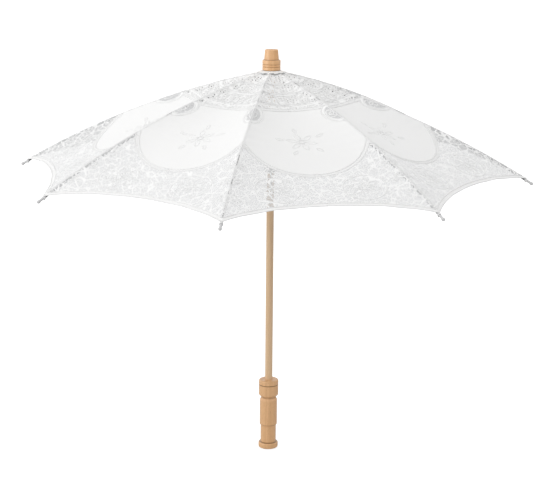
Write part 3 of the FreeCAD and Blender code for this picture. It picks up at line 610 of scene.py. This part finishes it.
def wood_material(name, light, dark, bands, flecks, roughness, grooves):
    """Turned and varnished beech. grooves lists (height, half width, depth of tone) of lines burnt in on the lathe."""
    m, n, shader = new_material(name, roughness, Coat_Weight=0.35, Coat_Roughness=0.18)
    at = n.node("ShaderNodeTexCoord").outputs["Object"]
    grain = n.use(group("grain"), Vector=at, Bands=bands, Flecks=flecks)
    marks = n.use(group("scuff"), Vector=at, Size=0.018)
    base = n.mix(n.mul(grain["Band"], 0.55), light, dark)
    base = n.mix(n.mul(grain["Fleck"], 0.5), base, tuple(0.62 * c for c in dark))
    slow = n.noise(n.vector("MULTIPLY", at, (1.0, 1.0, 0.25)), 38.0, detail=2.0)
    base = n.mix(n.mul(slow, 0.30), base, (light[0] * 1.08, light[1] * 1.03, light[2] * 0.95))
    z = n.split(at)[2]
    line = None
    for height, half, tone in grooves:
        one = n.mul(n.step(n.abs(n.sub(z, height)), half, half * 0.35), tone)
        line = one if line is None else n.max(line, one)
    if line is not None:
        base = n.mix(line, base, tuple(0.42 * c for c in dark))
    n.feed(shader.inputs["Base Color"], base)
    tools = n.sin(n.add(n.mul(z, 2 * math.pi / 0.0011), n.mul(slow, 3.0)))
    n.feed(shader.inputs["Roughness"], n.add(roughness - 0.06, n.mul(marks["Smear"], 0.14)))
    height = n.add(n.mul(grain["Height"], 0.5), n.mul(tools, 0.10))
    n.feed(shader.inputs["Normal"], n.bump(height, 0.35, 0.0002))
    return m


def metal_material(name, base, roughness, metallic, worn):
    """Drawn steel or wire with rubbed places."""
    m, n, shader = new_material(name, roughness, Metallic=metallic)
    at = n.node("ShaderNodeTexCoord").outputs["Object"]
    marks = n.use(group("scuff"), Vector=at, Size=0.012)
    rubbed = n.mul(n.step(marks["Smear"], 0.52, 0.70), 0.55)
    n.feed(shader.inputs["Base Color"], n.mix(n.max(rubbed, n.mul(marks["Scratch"], 0.6)), base, worn))
    n.feed(shader.inputs["Roughness"], n.add(roughness - 0.08, n.mul(marks["Smear"], 0.2)))
    n.feed(shader.inputs["Normal"], n.bump(marks["Smear"], 0.15, 0.0002))
    return m


def plastic_material(name, base, roughness):
    """Moulded plastic: faint mottling and a soft orange-peel skin."""
    m, n, shader = new_material(name, roughness, Subsurface_Weight=0.0, Coat_Weight=0.1)
    at = n.node("ShaderNodeTexCoord").outputs["Object"]
    marks = n.use(group("scuff"), Vector=at, Size=0.009)
    n.feed(shader.inputs["Base Color"], n.mix(n.mul(marks["Smear"], 0.35), base, tuple(0.86 * c for c in base)))
    n.feed(shader.inputs["Roughness"], n.add(roughness - 0.07, n.mul(marks["Smear"], 0.18)))
    skin = n.noise(at, 1400.0, detail=1.0)
    n.feed(shader.inputs["Normal"], n.bump(n.add(skin, marks["Scratch"]), 0.12, 0.0002))
    return m


# ------------------------------------------------------------------ the canopy's surface

class Canopy:
    """Where a point of the cloth lies.

    s runs from the top (0) to the hem (1), t from a gore's middle (0) to its seam (1).
    """

    def __init__(self, sizes):
        self.c = sizes
        c = sizes
        run, drop = c.corner_radius - c.centre_radius, c.centre_height - c.corner_height
        chord, lean = math.hypot(run, drop), math.atan2(drop, run)
        self.bend = 2 * math.atan(2 * c.seam_rise / chord)
        self.radius = chord / (2 * math.sin(self.bend))
        self.first = lean - self.bend
        self.cx = c.centre_radius + run / 2 - math.sin(lean) * (self.radius - c.seam_rise)
        self.cz = c.centre_height - drop / 2 - math.cos(lean) * (self.radius - c.seam_rise)
        self.shares = self.fold_shares()

    def seam(self, s):
        turn = self.first + 2 * self.bend * s
        return self.cx + self.radius * np.sin(turn), self.cz + self.radius * np.cos(turn)

    def middle(self, s):
        c = self.c
        radius = c.centre_radius + s * (c.hem_radius - c.centre_radius)
        return radius, c.centre_height + s * (c.hem_height - c.centre_height)

    def plain(self, s, t, hand, azimuth):
        """Points of the cloth's middle, before any gathers, for the half gore on that hand of the rib at azimuth."""
        s, t = np.asarray(s, float), np.asarray(t, float)
        sr, sz = self.seam(s)
        mr, mz = self.middle(s)
        round_ = t * t
        x = mr + (sr * math.cos(HALF_GORE) - mr) * round_
        y = -hand * sr * math.sin(HALF_GORE) * t
        z = mz + (sz - mz) * round_ + self.c.lift
        a = azimuth + hand * HALF_GORE
        return np.stack([x * math.cos(a) - y * math.sin(a), x * math.sin(a) + y * math.cos(a), z], -1)

    def normal(self, s, t, hand, azimuth):
        e = 1e-3
        s, t = np.asarray(s, float), np.asarray(t, float)
        ds = self.plain(s + e, t, hand, azimuth) - self.plain(s - e, t, hand, azimuth)
        dt = self.plain(s, t + e, hand, azimuth) - self.plain(s, t - e, hand, azimuth)
        n = np.cross(ds, dt)
        n /= np.linalg.norm(n, axis=-1, keepdims=True)
        return n * np.sign(n[..., 2:3])

    def gathers(self, s, t):
        """Small gathers across a seam and along the hem, none at the seam itself or at a gore's middle."""
        s, t = np.asarray(s, float), np.asarray(t, float)
        along = s * (self.c.gore_middle + self.c.gore_corner * t * t)
        off = self.c.gore_half_width * s * (1 - t)
        grow = np.clip(off / 0.006, 0, 1) * np.exp(-off / 0.020) * np.clip(t * 3, 0, 1)
        wave = np.sin(2 * math.pi * along / 0.0170 + 1.3 * np.sin(along * 47.0))
        wave = wave + 0.5 * np.sin(2 * math.pi * along / 0.0093)
        drape = 0.9 * np.exp(-((1 - s) / 0.10) ** 2) * np.sin(math.pi * t) ** 2 * np.sin(2 * math.pi * t * 2.5)
        return self.c.pucker * (grow * wave + drape)

    def place(self, s, t, hand, azimuth, lift=0.0):
        """Points of the finished cloth, raised by lift along its normal."""
        up = self.normal(s, t, hand, azimuth)
        return self.plain(s, t, hand, azimuth) + up * (self.gathers(s, t) + np.asarray(lift))[..., None]

    def flat(self, s, t):
        c = self.c
        return c.gore_half_width * s * t, s * (c.gore_middle + c.gore_corner * t * t)

    def from_flat(self, x, y):
        a, m = np.abs(x) / self.c.gore_half_width, self.c.gore_middle
        s = (y + np.sqrt(np.maximum(y * y - 4 * m * self.c.gore_corner * a * a, 0))) / (2 * m)
        return s, a / np.maximum(s, 1e-9)

    def hem(self, t):
        """Where the hem lies: a little past the corner beside a seam, so that the cloth covers the tip's root."""
        return 1 + 0.011 * np.asarray(t, float) ** 5

    def fold_shares(self):
        """How much of the pleat's full turn each point of a gore's middle needs to meet the next gore's when folded."""
        joints = {j["name"]: j for j in frame["joints"]}
        fold, pleat = joints["canopy_fold"], joints["pleat_1_left_turn"]
        full = math.radians(max(fold["range_deg"]))
        limit = math.radians(max(pleat["range_deg"], key=abs))
        hinge, axis = Vector(pleat["pos_m"]), Vector(pleat["axis"])
        pivot, tangent = Vector(fold["pos_m"]), Vector(fold["axis"])
        wall = Vector((-math.sin(HALF_GORE), math.cos(HALF_GORE), 0))

        def off(point, turn):
            p = hinge + Matrix.Rotation(turn, 3, axis) @ (point - hinge)
            return (pivot + Matrix.Rotation(full, 3, tangent) @ (p - pivot)).dot(wall) + CREASE_CLEARANCE

        steps = np.linspace(0, 1, 65)
        shares = []
        for p in self.plain(steps, np.zeros_like(steps), 1, 0.0):
            turns = [limit * k / 60 for k in range(61)]
            gaps = [off(Vector(p), a) for a in turns]
            found = next((k for k in range(60) if gaps[k] * gaps[k + 1] <= 0), None)
            if found is None:
                shares.append(1.0 if abs(gaps[-1]) < abs(gaps[0]) else 0.0)
            else:
                shares.append((found + gaps[found] / (gaps[found] - gaps[found + 1])) / 60)
        return steps, np.array(shares)

    def share(self, s, t):
        """How far a point turns with its pleat: none at the seam, all beyond the narrow strip that bends beside it."""
        u = np.clip((1 - np.asarray(t, float)) / np.interp(s, *HINGE_WIDTH), 0, 1)
        return np.interp(s, *self.shares) * u * u * (3 - 2 * u)


def mesh_object(name, points, faces, material):
    mesh = bpy.data.meshes.new(name)
    mesh.from_pydata([tuple(p) for p in points], [], [tuple(f) for f in faces])
    mesh.update()
    mesh.polygons.foreach_set("use_smooth", [True] * len(mesh.polygons))
    mesh.materials.append(material)
    o = bpy.data.objects.new(name, mesh)
    bpy.context.scene.collection.objects.link(o)
    return o


def vector_attribute(o, name, values):
    a = o.data.attributes.new(name, "FLOAT_VECTOR", "POINT")
    a.data.foreach_set("vector", np.asarray(values, np.float32).ravel())


def bend_with_pleat(o):
    """Bakes the piece's placement into its mesh."""
    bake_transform(o)


# ------------------------------------------------------------------ raised threads

class ThreadBench:
    """Collects raised threads laid on a half gore, each a closed six-sided strand."""

    def __init__(self, canopy, hand, azimuth):
        self.canopy, self.hand, self.azimuth = canopy, hand, azimuth
        self.points, self.faces, self.run, self.weight = [], [], [], []

    def lay(self, x, y, width, height):
        """A strand along the flat points (x, y), x from the gore's middle towards the seam.

        What falls off the cloth is left out.
        """
        s, t = self.canopy.from_flat(np.asarray(x, float), np.asarray(y, float))
        good = (s > 0.03) & (s < 1.0001) & (t <= 0.985)
        start = None
        for k in range(len(good) + 1):
            ok = k < len(good) and good[k]
            if ok and start is None:
                start = k
            elif not ok and start is not None:
                if k - start >= 2:
                    self.strand(s[start:k], t[start:k], width, height)
                start = None

    def lay_outside(self, x, y, width, height, lace):
        """As lay, but broken where the line would cross the oval motif on the seam."""
        x, y = np.asarray(x, float), np.asarray(y, float)
        off = self.canopy.c.gore_half_width * y / (self.canopy.c.gore_middle + self.canopy.c.gore_corner) - x
        far = np.hypot(off / lace.motif_across, (y - lace.motif_centre) / lace.motif_along)
        self.lay(np.where(far > 1.02, x, OFF_CLOTH), y, width, height)

    def strand(self, s, t, width, height):
        base = self.canopy.place(s, t, self.hand, self.azimuth)
        up = self.canopy.normal(s, t, self.hand, self.azimuth)
        forward = np.gradient(base, axis=0)
        forward /= np.linalg.norm(forward, axis=1, keepdims=True)
        side = np.cross(up, forward)
        far = np.concatenate([[0], np.cumsum(np.linalg.norm(np.diff(base, axis=0), axis=1))])
        ring = [(0.5, 0.0), (0.36, 0.72), (0.0, 1.0), (-0.36, 0.72), (-0.5, 0.0), (0.0, -0.35)]
        share = self.canopy.share(s, t)
        first = len(self.points)
        for k in range(len(base)):
            for across, rise in ring:
                self.points.append(base[k] + side[k] * across * width + up[k] * rise * height)
                self.run.append((far[k], across * 2, 0))
                self.weight.append(share[k])
        n = len(ring)
        for k in range(len(base) - 1):
            for j in range(n):
                a, b = first + k * n + j, first + k * n + (j + 1) % n
                self.faces.append((a, a + n, b + n, b))
        self.faces.append(tuple(first + j for j in range(n)))
        last = first + (len(base) - 1) * n
        self.faces.append(tuple(last + j for j in reversed(range(n))))

    def absorb(self, other):
        first = len(self.points)
        self.points += other.points
        self.run += other.run
        self.weight += other.weight
        self.faces += [tuple(v + first for v in f) for f in other.faces]
        return self

    def finish(self, name, material):
        o = mesh_object(name, self.points, self.faces, material)
        vector_attribute(o, "thread_run", self.run)
        return o


def oval_line(centre, across, along, start, end, count):
    a = np.radians(np.linspace(start, end, count))
    return centre[0] + across * np.sin(a), centre[1] - along * np.cos(a)


def almond_line(centre, direction, middle, reach, half, count=13):
    """The outline of an almond petal whose long way points along direction."""
    u = np.linspace(-1, 1, count)
    w = half * (1 - u * u)
    along = np.concatenate([middle + reach * u, middle + reach * u[::-1]])
    off = np.concatenate([w, -w[::-1]])
    c, s = math.cos(direction), math.sin(direction)
    return centre[0] + along * c - off * s, centre[1] + along * s + off * c


def sew_half_gore(bench, canopy, lace, hand):
    """Every raised line of one half gore."""
    cy, ma, ml = lace.medallion_centre, lace.medallion_across, lace.medallion_along
    # hem cords
    t = np.linspace(0, 0.993, 56)
    for inset, width, height in ((0.0010, 0.0022, 0.0010), (lace.hem_band, 0.0016, 0.0007)):
        s = canopy.hem(t) - inset / (canopy.c.gore_middle + canopy.c.gore_corner * t * t)
        bench.strand(s, t, width, height)
    # medallion rims and the bars between them
    bench.lay_outside(*oval_line((0, cy), ma, ml, 0, 180, 72), 0.0024, 0.0008, lace)
    bench.lay_outside(*oval_line((0, cy), ma + 0.0055, ml + 0.0055, 0, 180, 72), 0.0017, 0.0006, lace)
    for a in np.linspace(2, 178, 56):
        r = math.radians(a)
        x = np.array([ma + 0.0004, ma + 0.0054]) * math.sin(r)
        y = cy - np.array([ml + 0.0004, ml + 0.0054]) * math.cos(r)
        bench.lay_outside(x, y, 0.0011, 0.0004, lace)
    # outer scallops round the medallion's top
    for grow in (0.0150, 0.0190):
        bench.lay_outside(*oval_line((0, cy), ma + grow, ml + grow, 0, 100, 40), 0.0013, 0.0006, lace)
    # rings round the top
    for r in (0.0455, 0.0480, 0.0755, 0.0800):
        s = np.full(22, r / canopy.c.gore_middle)
        bench.strand(s, np.linspace(0, 0.985, 22), 0.0014, 0.0008)
    # loops between the rings
    for k in range(3):
        x = 0.0041 + 0.0082 * k
        bench.lay(*oval_line((x, 0.0625), 0.0041, 0.0105, -180, 180, 20), 0.0011, 0.0006)
    for k in range(4):
        x = 0.0052 + 0.0104 * k
        bench.lay(*oval_line((x, 0.0990), 0.0048, 0.0130, -180, 180, 20), 0.0012, 0.0007)
    # the oval motif that straddles a seam
    for share in (1.0, 0.76, 0.36):
        angle = np.radians(np.linspace(0, 180, 26))
        y = lace.motif_centre - share * lace.motif_along * np.cos(angle)
        seam = canopy.c.gore_half_width * y / (canopy.c.gore_middle + canopy.c.gore_corner)
        x = seam - share * lace.motif_across * np.sin(angle)
        bench.lay(x, y, 0.0015, 0.0006)
    # the round motif below the medallion
    bench.lay(*oval_line(ROUND_MOTIF, ROUND_MOTIF_ACROSS, ROUND_MOTIF_ALONG, -180, 180, 56), 0.0015, 0.0004)
    for k in range(8):
        a = k * math.pi / 4 + 0.2
        bench.lay(*almond_line(ROUND_MOTIF, a, 0.0150, 0.0085, 0.0042, 9), 0.0013, 0.0004)
    bench.lay(*oval_line(ROUND_MOTIF, 0.0045, 0.0045, -180, 180, 16), 0.0014, 0.0005)
    # sprays in the corner beside the seam
    for y0, a0 in ((0.318, 0.9), (0.352, 1.15), (0.286, 0.6)):
        x0 = canopy.c.gore_half_width * y0 / 0.4005 - 0.0105
        for k in (-1, 0, 1):
            bench.lay(*almond_line((x0, y0), a0 + k * 0.9, 0.0070, 0.0062, 0.0027, 8), 0.0012, 0.0004)
    # petals of the medallion's spray, both sides of the middle
    for turn, petals, middle, reach, half in PETAL_RINGS:
        for k in range(petals):
            a = turn + k * 2 * math.pi / petals
            x, y = almond_line((0, cy), a, middle, reach, half - 0.0004)
            bench.lay(np.where(x * hand <= 0, np.abs(x), OFF_CLOTH), y, 0.0018, 0.0004)
    bench.lay(*oval_line((0, cy), 0.0042, 0.0042, 0, 180, 14), 0.0016, 0.0010)


# ------------------------------------------------------------------ operators

class PARASOL_OT_finishes(bpy.types.Operator):
    """Makes every finish and puts those of the carried-over parts on them"""

    bl_idname = "parasol.finishes"
    bl_label = "Finishes"

    def execute(self, context):
        lace, colours = context.scene.parasol_lace, context.scene.parasol_colours
        lace_cloth_material(lace, colours)
        thread_material(colours)
        tape_material(colours)
        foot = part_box("finial")[0].z
        turned = tuple(colours.turned), tuple(colours.turned_dark), 85.0
        dowel = wood_material("Pale dowel", tuple(colours.shaft), tuple(colours.shaft_dark), 70.0, 0.35, 0.42, [])
        grip = wood_material("Turned beech handle", *turned, 0.6, 0.34, HANDLE_LINES)
        lines = [(foot + z, half, tone) for z, half, tone in FINIAL_LINES]
        cap = wood_material("Turned beech finial", *turned, 0.5, 0.34, lines)
        # Ribs and stretchers are coloured near black.
        steel = metal_material("Near-black steel", tuple(colours.steel), 0.42, 0.6, (0.16, 0.16, 0.165))
        wire = metal_material("Bright wire", tuple(colours.wire), 0.28, 1.0, (0.74, 0.74, 0.73))
        white = plastic_material("White plastic", tuple(colours.plastic), 0.38)
        tip = plastic_material("Tip plastic", tuple(colours.tip), 0.36)
        starts = {
            "shaft": dowel, "handle": grip, "finial": cap, "crown_wire": wire, "runner_wire": wire, "catch": wire,
            "rivet": wire, "crown": white, "runner": white, "rib_tip": tip, "rib": steel, "stretcher": steel,
        }
        for node in frame["nodes"]:
            if not node.startswith("canopy_"):
                put_finish(node, next(finish for start, finish in starts.items() if node.startswith(start)))
        return {"FINISHED"}


class PARASOL_OT_canopy(bpy.types.Operator):
    """Lays the sixteen half gores of lace over the ribs"""

    bl_idname = "parasol.canopy"
    bl_label = "Lace canopy"

    def execute(self, context):
        sizes, lace = context.scene.parasol_canopy, context.scene.parasol_lace
        canopy = Canopy(sizes)
        cloth, thread = named_material("Lace cloth"), named_material("Satin thread")
        rows, columns = 96, 26
        s, t = np.meshgrid(np.linspace(0, 1, rows + 1), np.linspace(0, 1, columns + 1), indexing="ij")
        s, t = s.ravel(), t.ravel()
        s = s * canopy.hem(t)
        for number in range(1, RIBS + 1):
            azimuth = (number - 1) * GORE
            for hand_name, hand in HANDS:
                name = "gore_%d_%s" % (number, hand_name)
                points = canopy.place(s, t, hand, azimuth)
                faces = []
                for r in range(rows):
                    for c in range(columns):
                        a = r * (columns + 1) + c
                        q = (a, a + 1, a + columns + 2, a + columns + 1)
                        faces.append(q if hand > 0 else q[::-1])
                o = mesh_object(name, points, faces, cloth)
                if sum(p.normal.z for p in o.data.polygons) < 0:
                    o.data.flip_normals()
                x, y = canopy.flat(s, t)
                gore = number if hand > 0 else (number - 2) % RIBS + 1
                vector_attribute(o, "lace_flat", np.stack([-hand * x, y, np.full_like(x, 0.131 * gore)], -1))
                hem = (canopy.hem(t) - s) * (sizes.gore_middle + sizes.gore_corner * t * t)
                seam = sizes.gore_half_width * s * (1 - t)
                vector_attribute(o, "lace_edge", np.stack([hem, seam, np.zeros_like(s)], -1))
                bench = ThreadBench(canopy, hand, azimuth)
                sew_half_gore(bench, canopy, lace, hand)
                cords = bench.finish(name + "_thread", thread)
                bend_with_pleat(o)
                bend_with_pleat(cords)
                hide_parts("canopy_%d_%s" % (number, hand_name))
        return {"FINISHED"}


class PARASOL_OT_seams(bpy.types.Operator):
    """Sews two fine cords along each seam, over its rib, joined by small bars"""

    bl_idname = "parasol.seams"
    bl_label = "Seam cords"

    def execute(self, context):
        canopy = Canopy(context.scene.parasol_canopy)
        thread = named_material("Satin thread")
        s = np.linspace(0.05, 0.990, 130)
        bars = np.linspace(0.08, 0.985, 110)
        for number in range(1, RIBS + 1):
            azimuth = (number - 1) * GORE
            both = None
            for hand_name, hand in HANDS:
                bench = ThreadBench(canopy, hand, azimuth)
                half = canopy.c.gore_half_width * s
                bench.strand(s, 1 - np.minimum(SEAM_CORD_OFF, 0.2 * half) / half, 0.0011, 0.0005)
                for at in bars:
                    half = canopy.c.gore_half_width * at
                    bench.strand(np.array([at, at]), np.array([1 - SEAM_CORD_OFF / half, 1.0]), 0.0008, 0.0003)
                both = bench if both is None else both.absorb(bench)
            o = both.finish("seam_cord_%d" % number, thread)
            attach(o, "rib_%d" % number)
        return {"FINISHED"}


class PARASOL_OT_rosette(bpy.types.Operator):
    """Gathers a small frill of cloth round the foot of the finial"""

    bl_idname = "parasol.rosette"
    bl_label = "Rosette"

    def execute(self, context):
        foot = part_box("finial")[0].z
        round_, deep = 288, 9
        points, flat = [], []
        for k in range(round_):
            a = 2 * math.pi * k / round_
            frill = math.sin(13 * a + 0.7 * math.sin(3 * a)) + 0.35 * math.sin(29 * a + 1.1)
            for d in range(deep):
                v = d / (deep - 1)
                r = 0.0139 + 0.0088 * v + 0.0007 * v * math.sin(5 * a)
                z = foot - 0.0009 - 0.0026 * v + 0.0005 * v * frill
                points.append((r * math.cos(a), r * math.sin(a), z))
                flat.append((0.0220 * a, 0.0105 * v, 0.0))
        faces = []
        for k in range(round_):
            here, there = k * deep, (k + 1) % round_ * deep
            faces += [(here + d, there + d, there + d + 1, here + d + 1) for d in range(deep - 1)]
        o = mesh_object("finial_frill", points, faces, named_material("Seam tape"))
        if sum(p.normal.z for p in o.data.polygons) < 0:
            o.data.flip_normals()
        vector_attribute(o, "thread_run", [(f[0], f[1] + 0.004, 0) for f in flat])
        bpy.context.view_layer.objects.active = o
        solid = o.modifiers.new("Cloth thickness", "SOLIDIFY")
        solid.thickness = 0.0005
        solid.offset = 0.0
        bpy.ops.object.modifier_apply(modifier=solid.name)
        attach(o, "stick")
        return {"FINISHED"}


def start_clean():
    if bpy.context.object is not None and bpy.context.object.mode != "OBJECT":
        bpy.ops.object.mode_set(mode="OBJECT")
    bpy.ops.object.select_all(action="DESELECT")


def settle(o, name, material):
    """Leaves a modelled piece at the origin, unturned, with its finish."""
    start_clean()
    o.select_set(True)
    bpy.context.view_layer.objects.active = o
    bpy.ops.object.transform_apply(location=True, rotation=True, scale=True)
    bpy.ops.object.shade_smooth()
    o.name = o.data.name = name
    o.data.materials.clear()
    o.data.materials.append(material)
    start_clean()


def copied(o, name, matrix):
    """A copy with its own mesh, moved in its mesh."""
    c = o.copy()
    c.data = o.data.copy()
    c.name = c.data.name = name
    c.data.transform(matrix)
    bpy.context.scene.collection.objects.link(c)
    return c


def wound_thread(radius, thickness, turns, pitch):
    """A few close turns of thread round +X at the origin, with a small knot."""
    start_clean()
    bpy.ops.mesh.primitive_torus_add(
        major_radius=radius, minor_radius=thickness, major_segments=28, minor_segments=8,
        location=(0, 0, 0), rotation=(0, math.pi / 2, 0))
    o = bpy.context.object
    bpy.ops.object.transform_apply(rotation=True)
    bpy.ops.object.mode_set(mode="EDIT")
    bpy.ops.mesh.select_all(action="SELECT")
    for k in range(turns - 1):
        bpy.ops.mesh.duplicate_move(TRANSFORM_OT_translate={"value": (pitch, 0, 0)})
        size = 1.0 + (0.05 if k % 2 == 0 else -0.05)
        bpy.ops.transform.resize(value=(1.0, size, size), center_override=(0, 0, 0))
    bpy.ops.mesh.select_all(action="DESELECT")
    knot = (pitch * (turns - 1) / 2, 0, -radius - thickness)
    bpy.ops.mesh.primitive_ico_sphere_add(subdivisions=2, radius=thickness * 2.4, location=knot)
    bpy.ops.transform.resize(value=(1.3, 0.9, 0.8), center_override=knot)
    bpy.ops.object.mode_set(mode="OBJECT")
    a = o.data.attributes.new("thread_run", "FLOAT_VECTOR", "POINT")
    run = [(math.atan2(v.co.y, v.co.z) * radius, 0.0, 0.0) for v in o.data.vertices]
    a.data.foreach_set("vector", np.asarray(run, np.float32).ravel())
    return o


class PARASOL_OT_bindings(bpy.types.Operator):
    """Binds each corner of the cloth to its tip and ties each seam to its rib"""

    bl_idname = "parasol.bindings"
    bl_label = "Bindings and ties"

    def execute(self, context):
        canopy = Canopy(context.scene.parasol_canopy)
        thread = named_material("Satin thread")
        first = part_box("rib_tip_1")
        wrap = wound_thread(0.00262, 0.00030, 4, 0.00056)
        lean = math.atan2(first[1].z - first[0].z - 0.0048, first[1].x - first[0].x - 0.0010)
        root = Vector((first[0].x + 0.0030, 0, first[1].z - 0.0024 * math.cos(lean) - 0.0030 * math.tan(lean)))
        wrap.data.transform(Matrix.Translation(root) @ Matrix.Rotation(lean, 4, "Y"))
        settle(wrap, "tip_binding_1", thread)
        for number in range(1, RIBS + 1):
            turn = Matrix.Rotation((number - 1) * GORE, 4, "Z")
            o = wrap if number == 1 else copied(wrap, "tip_binding_%d" % number, turn)
            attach(o, "rib_%d" % number)
        tie = wound_thread(TIE_RADIUS, 0.00022, 3, 0.00044)
        tie.data.transform(Matrix.Diagonal((1.0, 0.66, 1.02, 1.0)))
        settle(tie, "tie_pattern", thread)
        for number in range(1, RIBS + 1):
            turn = Matrix.Rotation((number - 1) * GORE, 4, "Z")
            for place, s in TIES:
                r, z = canopy.seam(np.array([s, s + 0.01]))
                slope = math.atan2(z[0] - z[1], r[1] - r[0])
                at = Vector((r[0], 0, z[0])) - Vector((math.sin(slope), 0, math.cos(slope))) * TIE_RADIUS
                move = turn @ Matrix.Translation(at) @ Matrix.Rotation(slope, 4, "Y")
                o = copied(tie, "rib_tie_%d_%s" % (number, place), move)
                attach(o, "rib_%d" % number)
        bpy.data.objects.remove(tie)
        return {"FINISHED"}


class PARASOL_OT_stage(bpy.types.Operator):
    """Sets the floor, the soft studio light and the camera"""

    bl_idname = "parasol.stage"
    bl_label = "Stage"

    def execute(self, context):
        stage = context.scene.parasol_stage
        start_clean()
        bpy.ops.mesh.primitive_circle_add(vertices=96, radius=FLOOR_RADIUS, fill_type="NGON", location=(0, 0, -0.0005))
        floor = bpy.context.object
        floor.name = floor.data.name = "floor"
        m, n, shader = new_material("Floor", 0.9)
        shader.inputs["Specular IOR Level"].default_value = 0.1
        at = n.node("ShaderNodeTexCoord").outputs["Object"]
        tone = n.mix(n.noise(at, 3.0), tuple(stage.floor), tuple(0.985 * c for c in stage.floor))
        n.feed(shader.inputs["Base Color"], tone)
        shader.inputs["Emission Color"].default_value = (1, 1, 1, 1)
        seen = n.node("ShaderNodeLightPath").outputs["Is Camera Ray"]
        n.feed(shader.inputs["Emission Strength"], n.mul(seen, FLOOR_GLOW))
        under = n.node("ShaderNodeNewGeometry").outputs["Backfacing"]
        n.feed(shader.inputs["Alpha"], n.sub(1.0, under))
        floor.data.materials.append(m)
        floor.data.transform(floor.matrix_world)
        floor.matrix_world = Matrix.Identity(4)

        world = bpy.data.worlds.new("Studio")
        context.scene.world = world
        world.use_nodes = True
        w = Nodes(world.node_tree)
        back = world.node_tree.nodes["Background"]
        way = w.split(w.node("ShaderNodeTexCoord").outputs["Generated"])
        side = w.step(w.add(w.mul(way[0], -0.85), w.mul(way[1], -0.35)), -0.7, 0.7)
        high = w.step(way[2], 0.05, 0.45)
        low = w.add(0.16, w.mul(side, 0.80))
        glow = w.mul(w.mix_numbers(high, low, 1.0), stage.sky)
        seen = w.node("ShaderNodeLightPath").outputs["Is Camera Ray"]
        w.feed(back.inputs["Strength"], w.mix_numbers(seen, glow, BACKDROP))
        back.inputs["Color"].default_value = (1, 1, 1, 1)

        data = bpy.data.lights.new("Key", "AREA")
        data.shape, data.size, data.energy = "DISK", KEY_SIZE, stage.key
        key = bpy.data.objects.new("Key", data)
        context.scene.collection.objects.link(key)
        key.location = KEY_PLACE
        key.rotation_euler = (KEY_TARGET - key.location).to_track_quat("-Z", "Y").to_euler()

        camera_data = bpy.data.cameras.new("Camera")
        camera_data.sensor_fit, camera_data.sensor_width, camera_data.lens = "HORIZONTAL", 36.0, stage.lens
        camera = bpy.data.objects.new("Camera", camera_data)
        context.scene.collection.objects.link(camera)
        a, p = stage.camera_heading, stage.camera_pitch
        forward = Vector((math.cos(a) * math.cos(p), math.sin(a) * math.cos(p), -math.sin(p)))
        right = Vector((math.sin(a), -math.cos(a), 0))
        up = right.cross(forward)
        c, s = math.cos(stage.camera_roll), math.sin(stage.camera_roll)
        x, y = right * c + up * s, -right * s + up * c
        place = Matrix((x, y, -forward)).transposed().to_4x4()
        place.translation = Vector(stage.camera_place)
        camera.matrix_world = place
        context.scene.camera = camera
        context.scene.view_settings.view_transform = "Standard"
        return {"FINISHED"}


class PARASOL_PT_panel(bpy.types.Panel):
    bl_label = "Lace parasol"
    bl_idname = "PARASOL_PT_panel"
    bl_space_type = "VIEW_3D"
    bl_region_type = "UI"
    bl_category = "Parasol"

    def draw(self, context):
        layout = self.layout
        for operator in OPERATORS:
            layout.operator(operator.bl_idname)
        for name, kind in SETTINGS:
            box = layout.box()
            box.label(text=name.split("_")[1].title())
            for field in kind.__annotations__:
                box.prop(getattr(context.scene, name), field)


SETTINGS = (
    ("parasol_canopy", ParasolCanopySizes), ("parasol_lace", ParasolLaceSizes),
    ("parasol_colours", ParasolColours), ("parasol_stage", ParasolStage),
)
OPERATORS = (
    PARASOL_OT_finishes, PARASOL_OT_canopy, PARASOL_OT_seams,
    PARASOL_OT_rosette, PARASOL_OT_bindings, PARASOL_OT_stage,
)


def register():
    for name, kind in SETTINGS:
        bpy.utils.register_class(kind)
        setattr(bpy.types.Scene, name, bpy.props.PointerProperty(type=kind))
    for kind in (*OPERATORS, PARASOL_PT_panel):
        bpy.utils.register_class(kind)


def unregister():
    for kind in reversed((*OPERATORS, PARASOL_PT_panel)):
        bpy.utils.unregister_class(kind)
    for name, kind in reversed(SETTINGS):
        delattr(bpy.types.Scene, name)
        bpy.utils.unregister_class(kind)


def main():
    register()
    bpy.ops.parasol.finishes()
    bpy.ops.parasol.canopy()
    bpy.ops.parasol.seams()
    bpy.ops.parasol.rosette()
    bpy.ops.parasol.bindings()
    bpy.ops.parasol.stage()


if __name__ == "__main__":
    main()
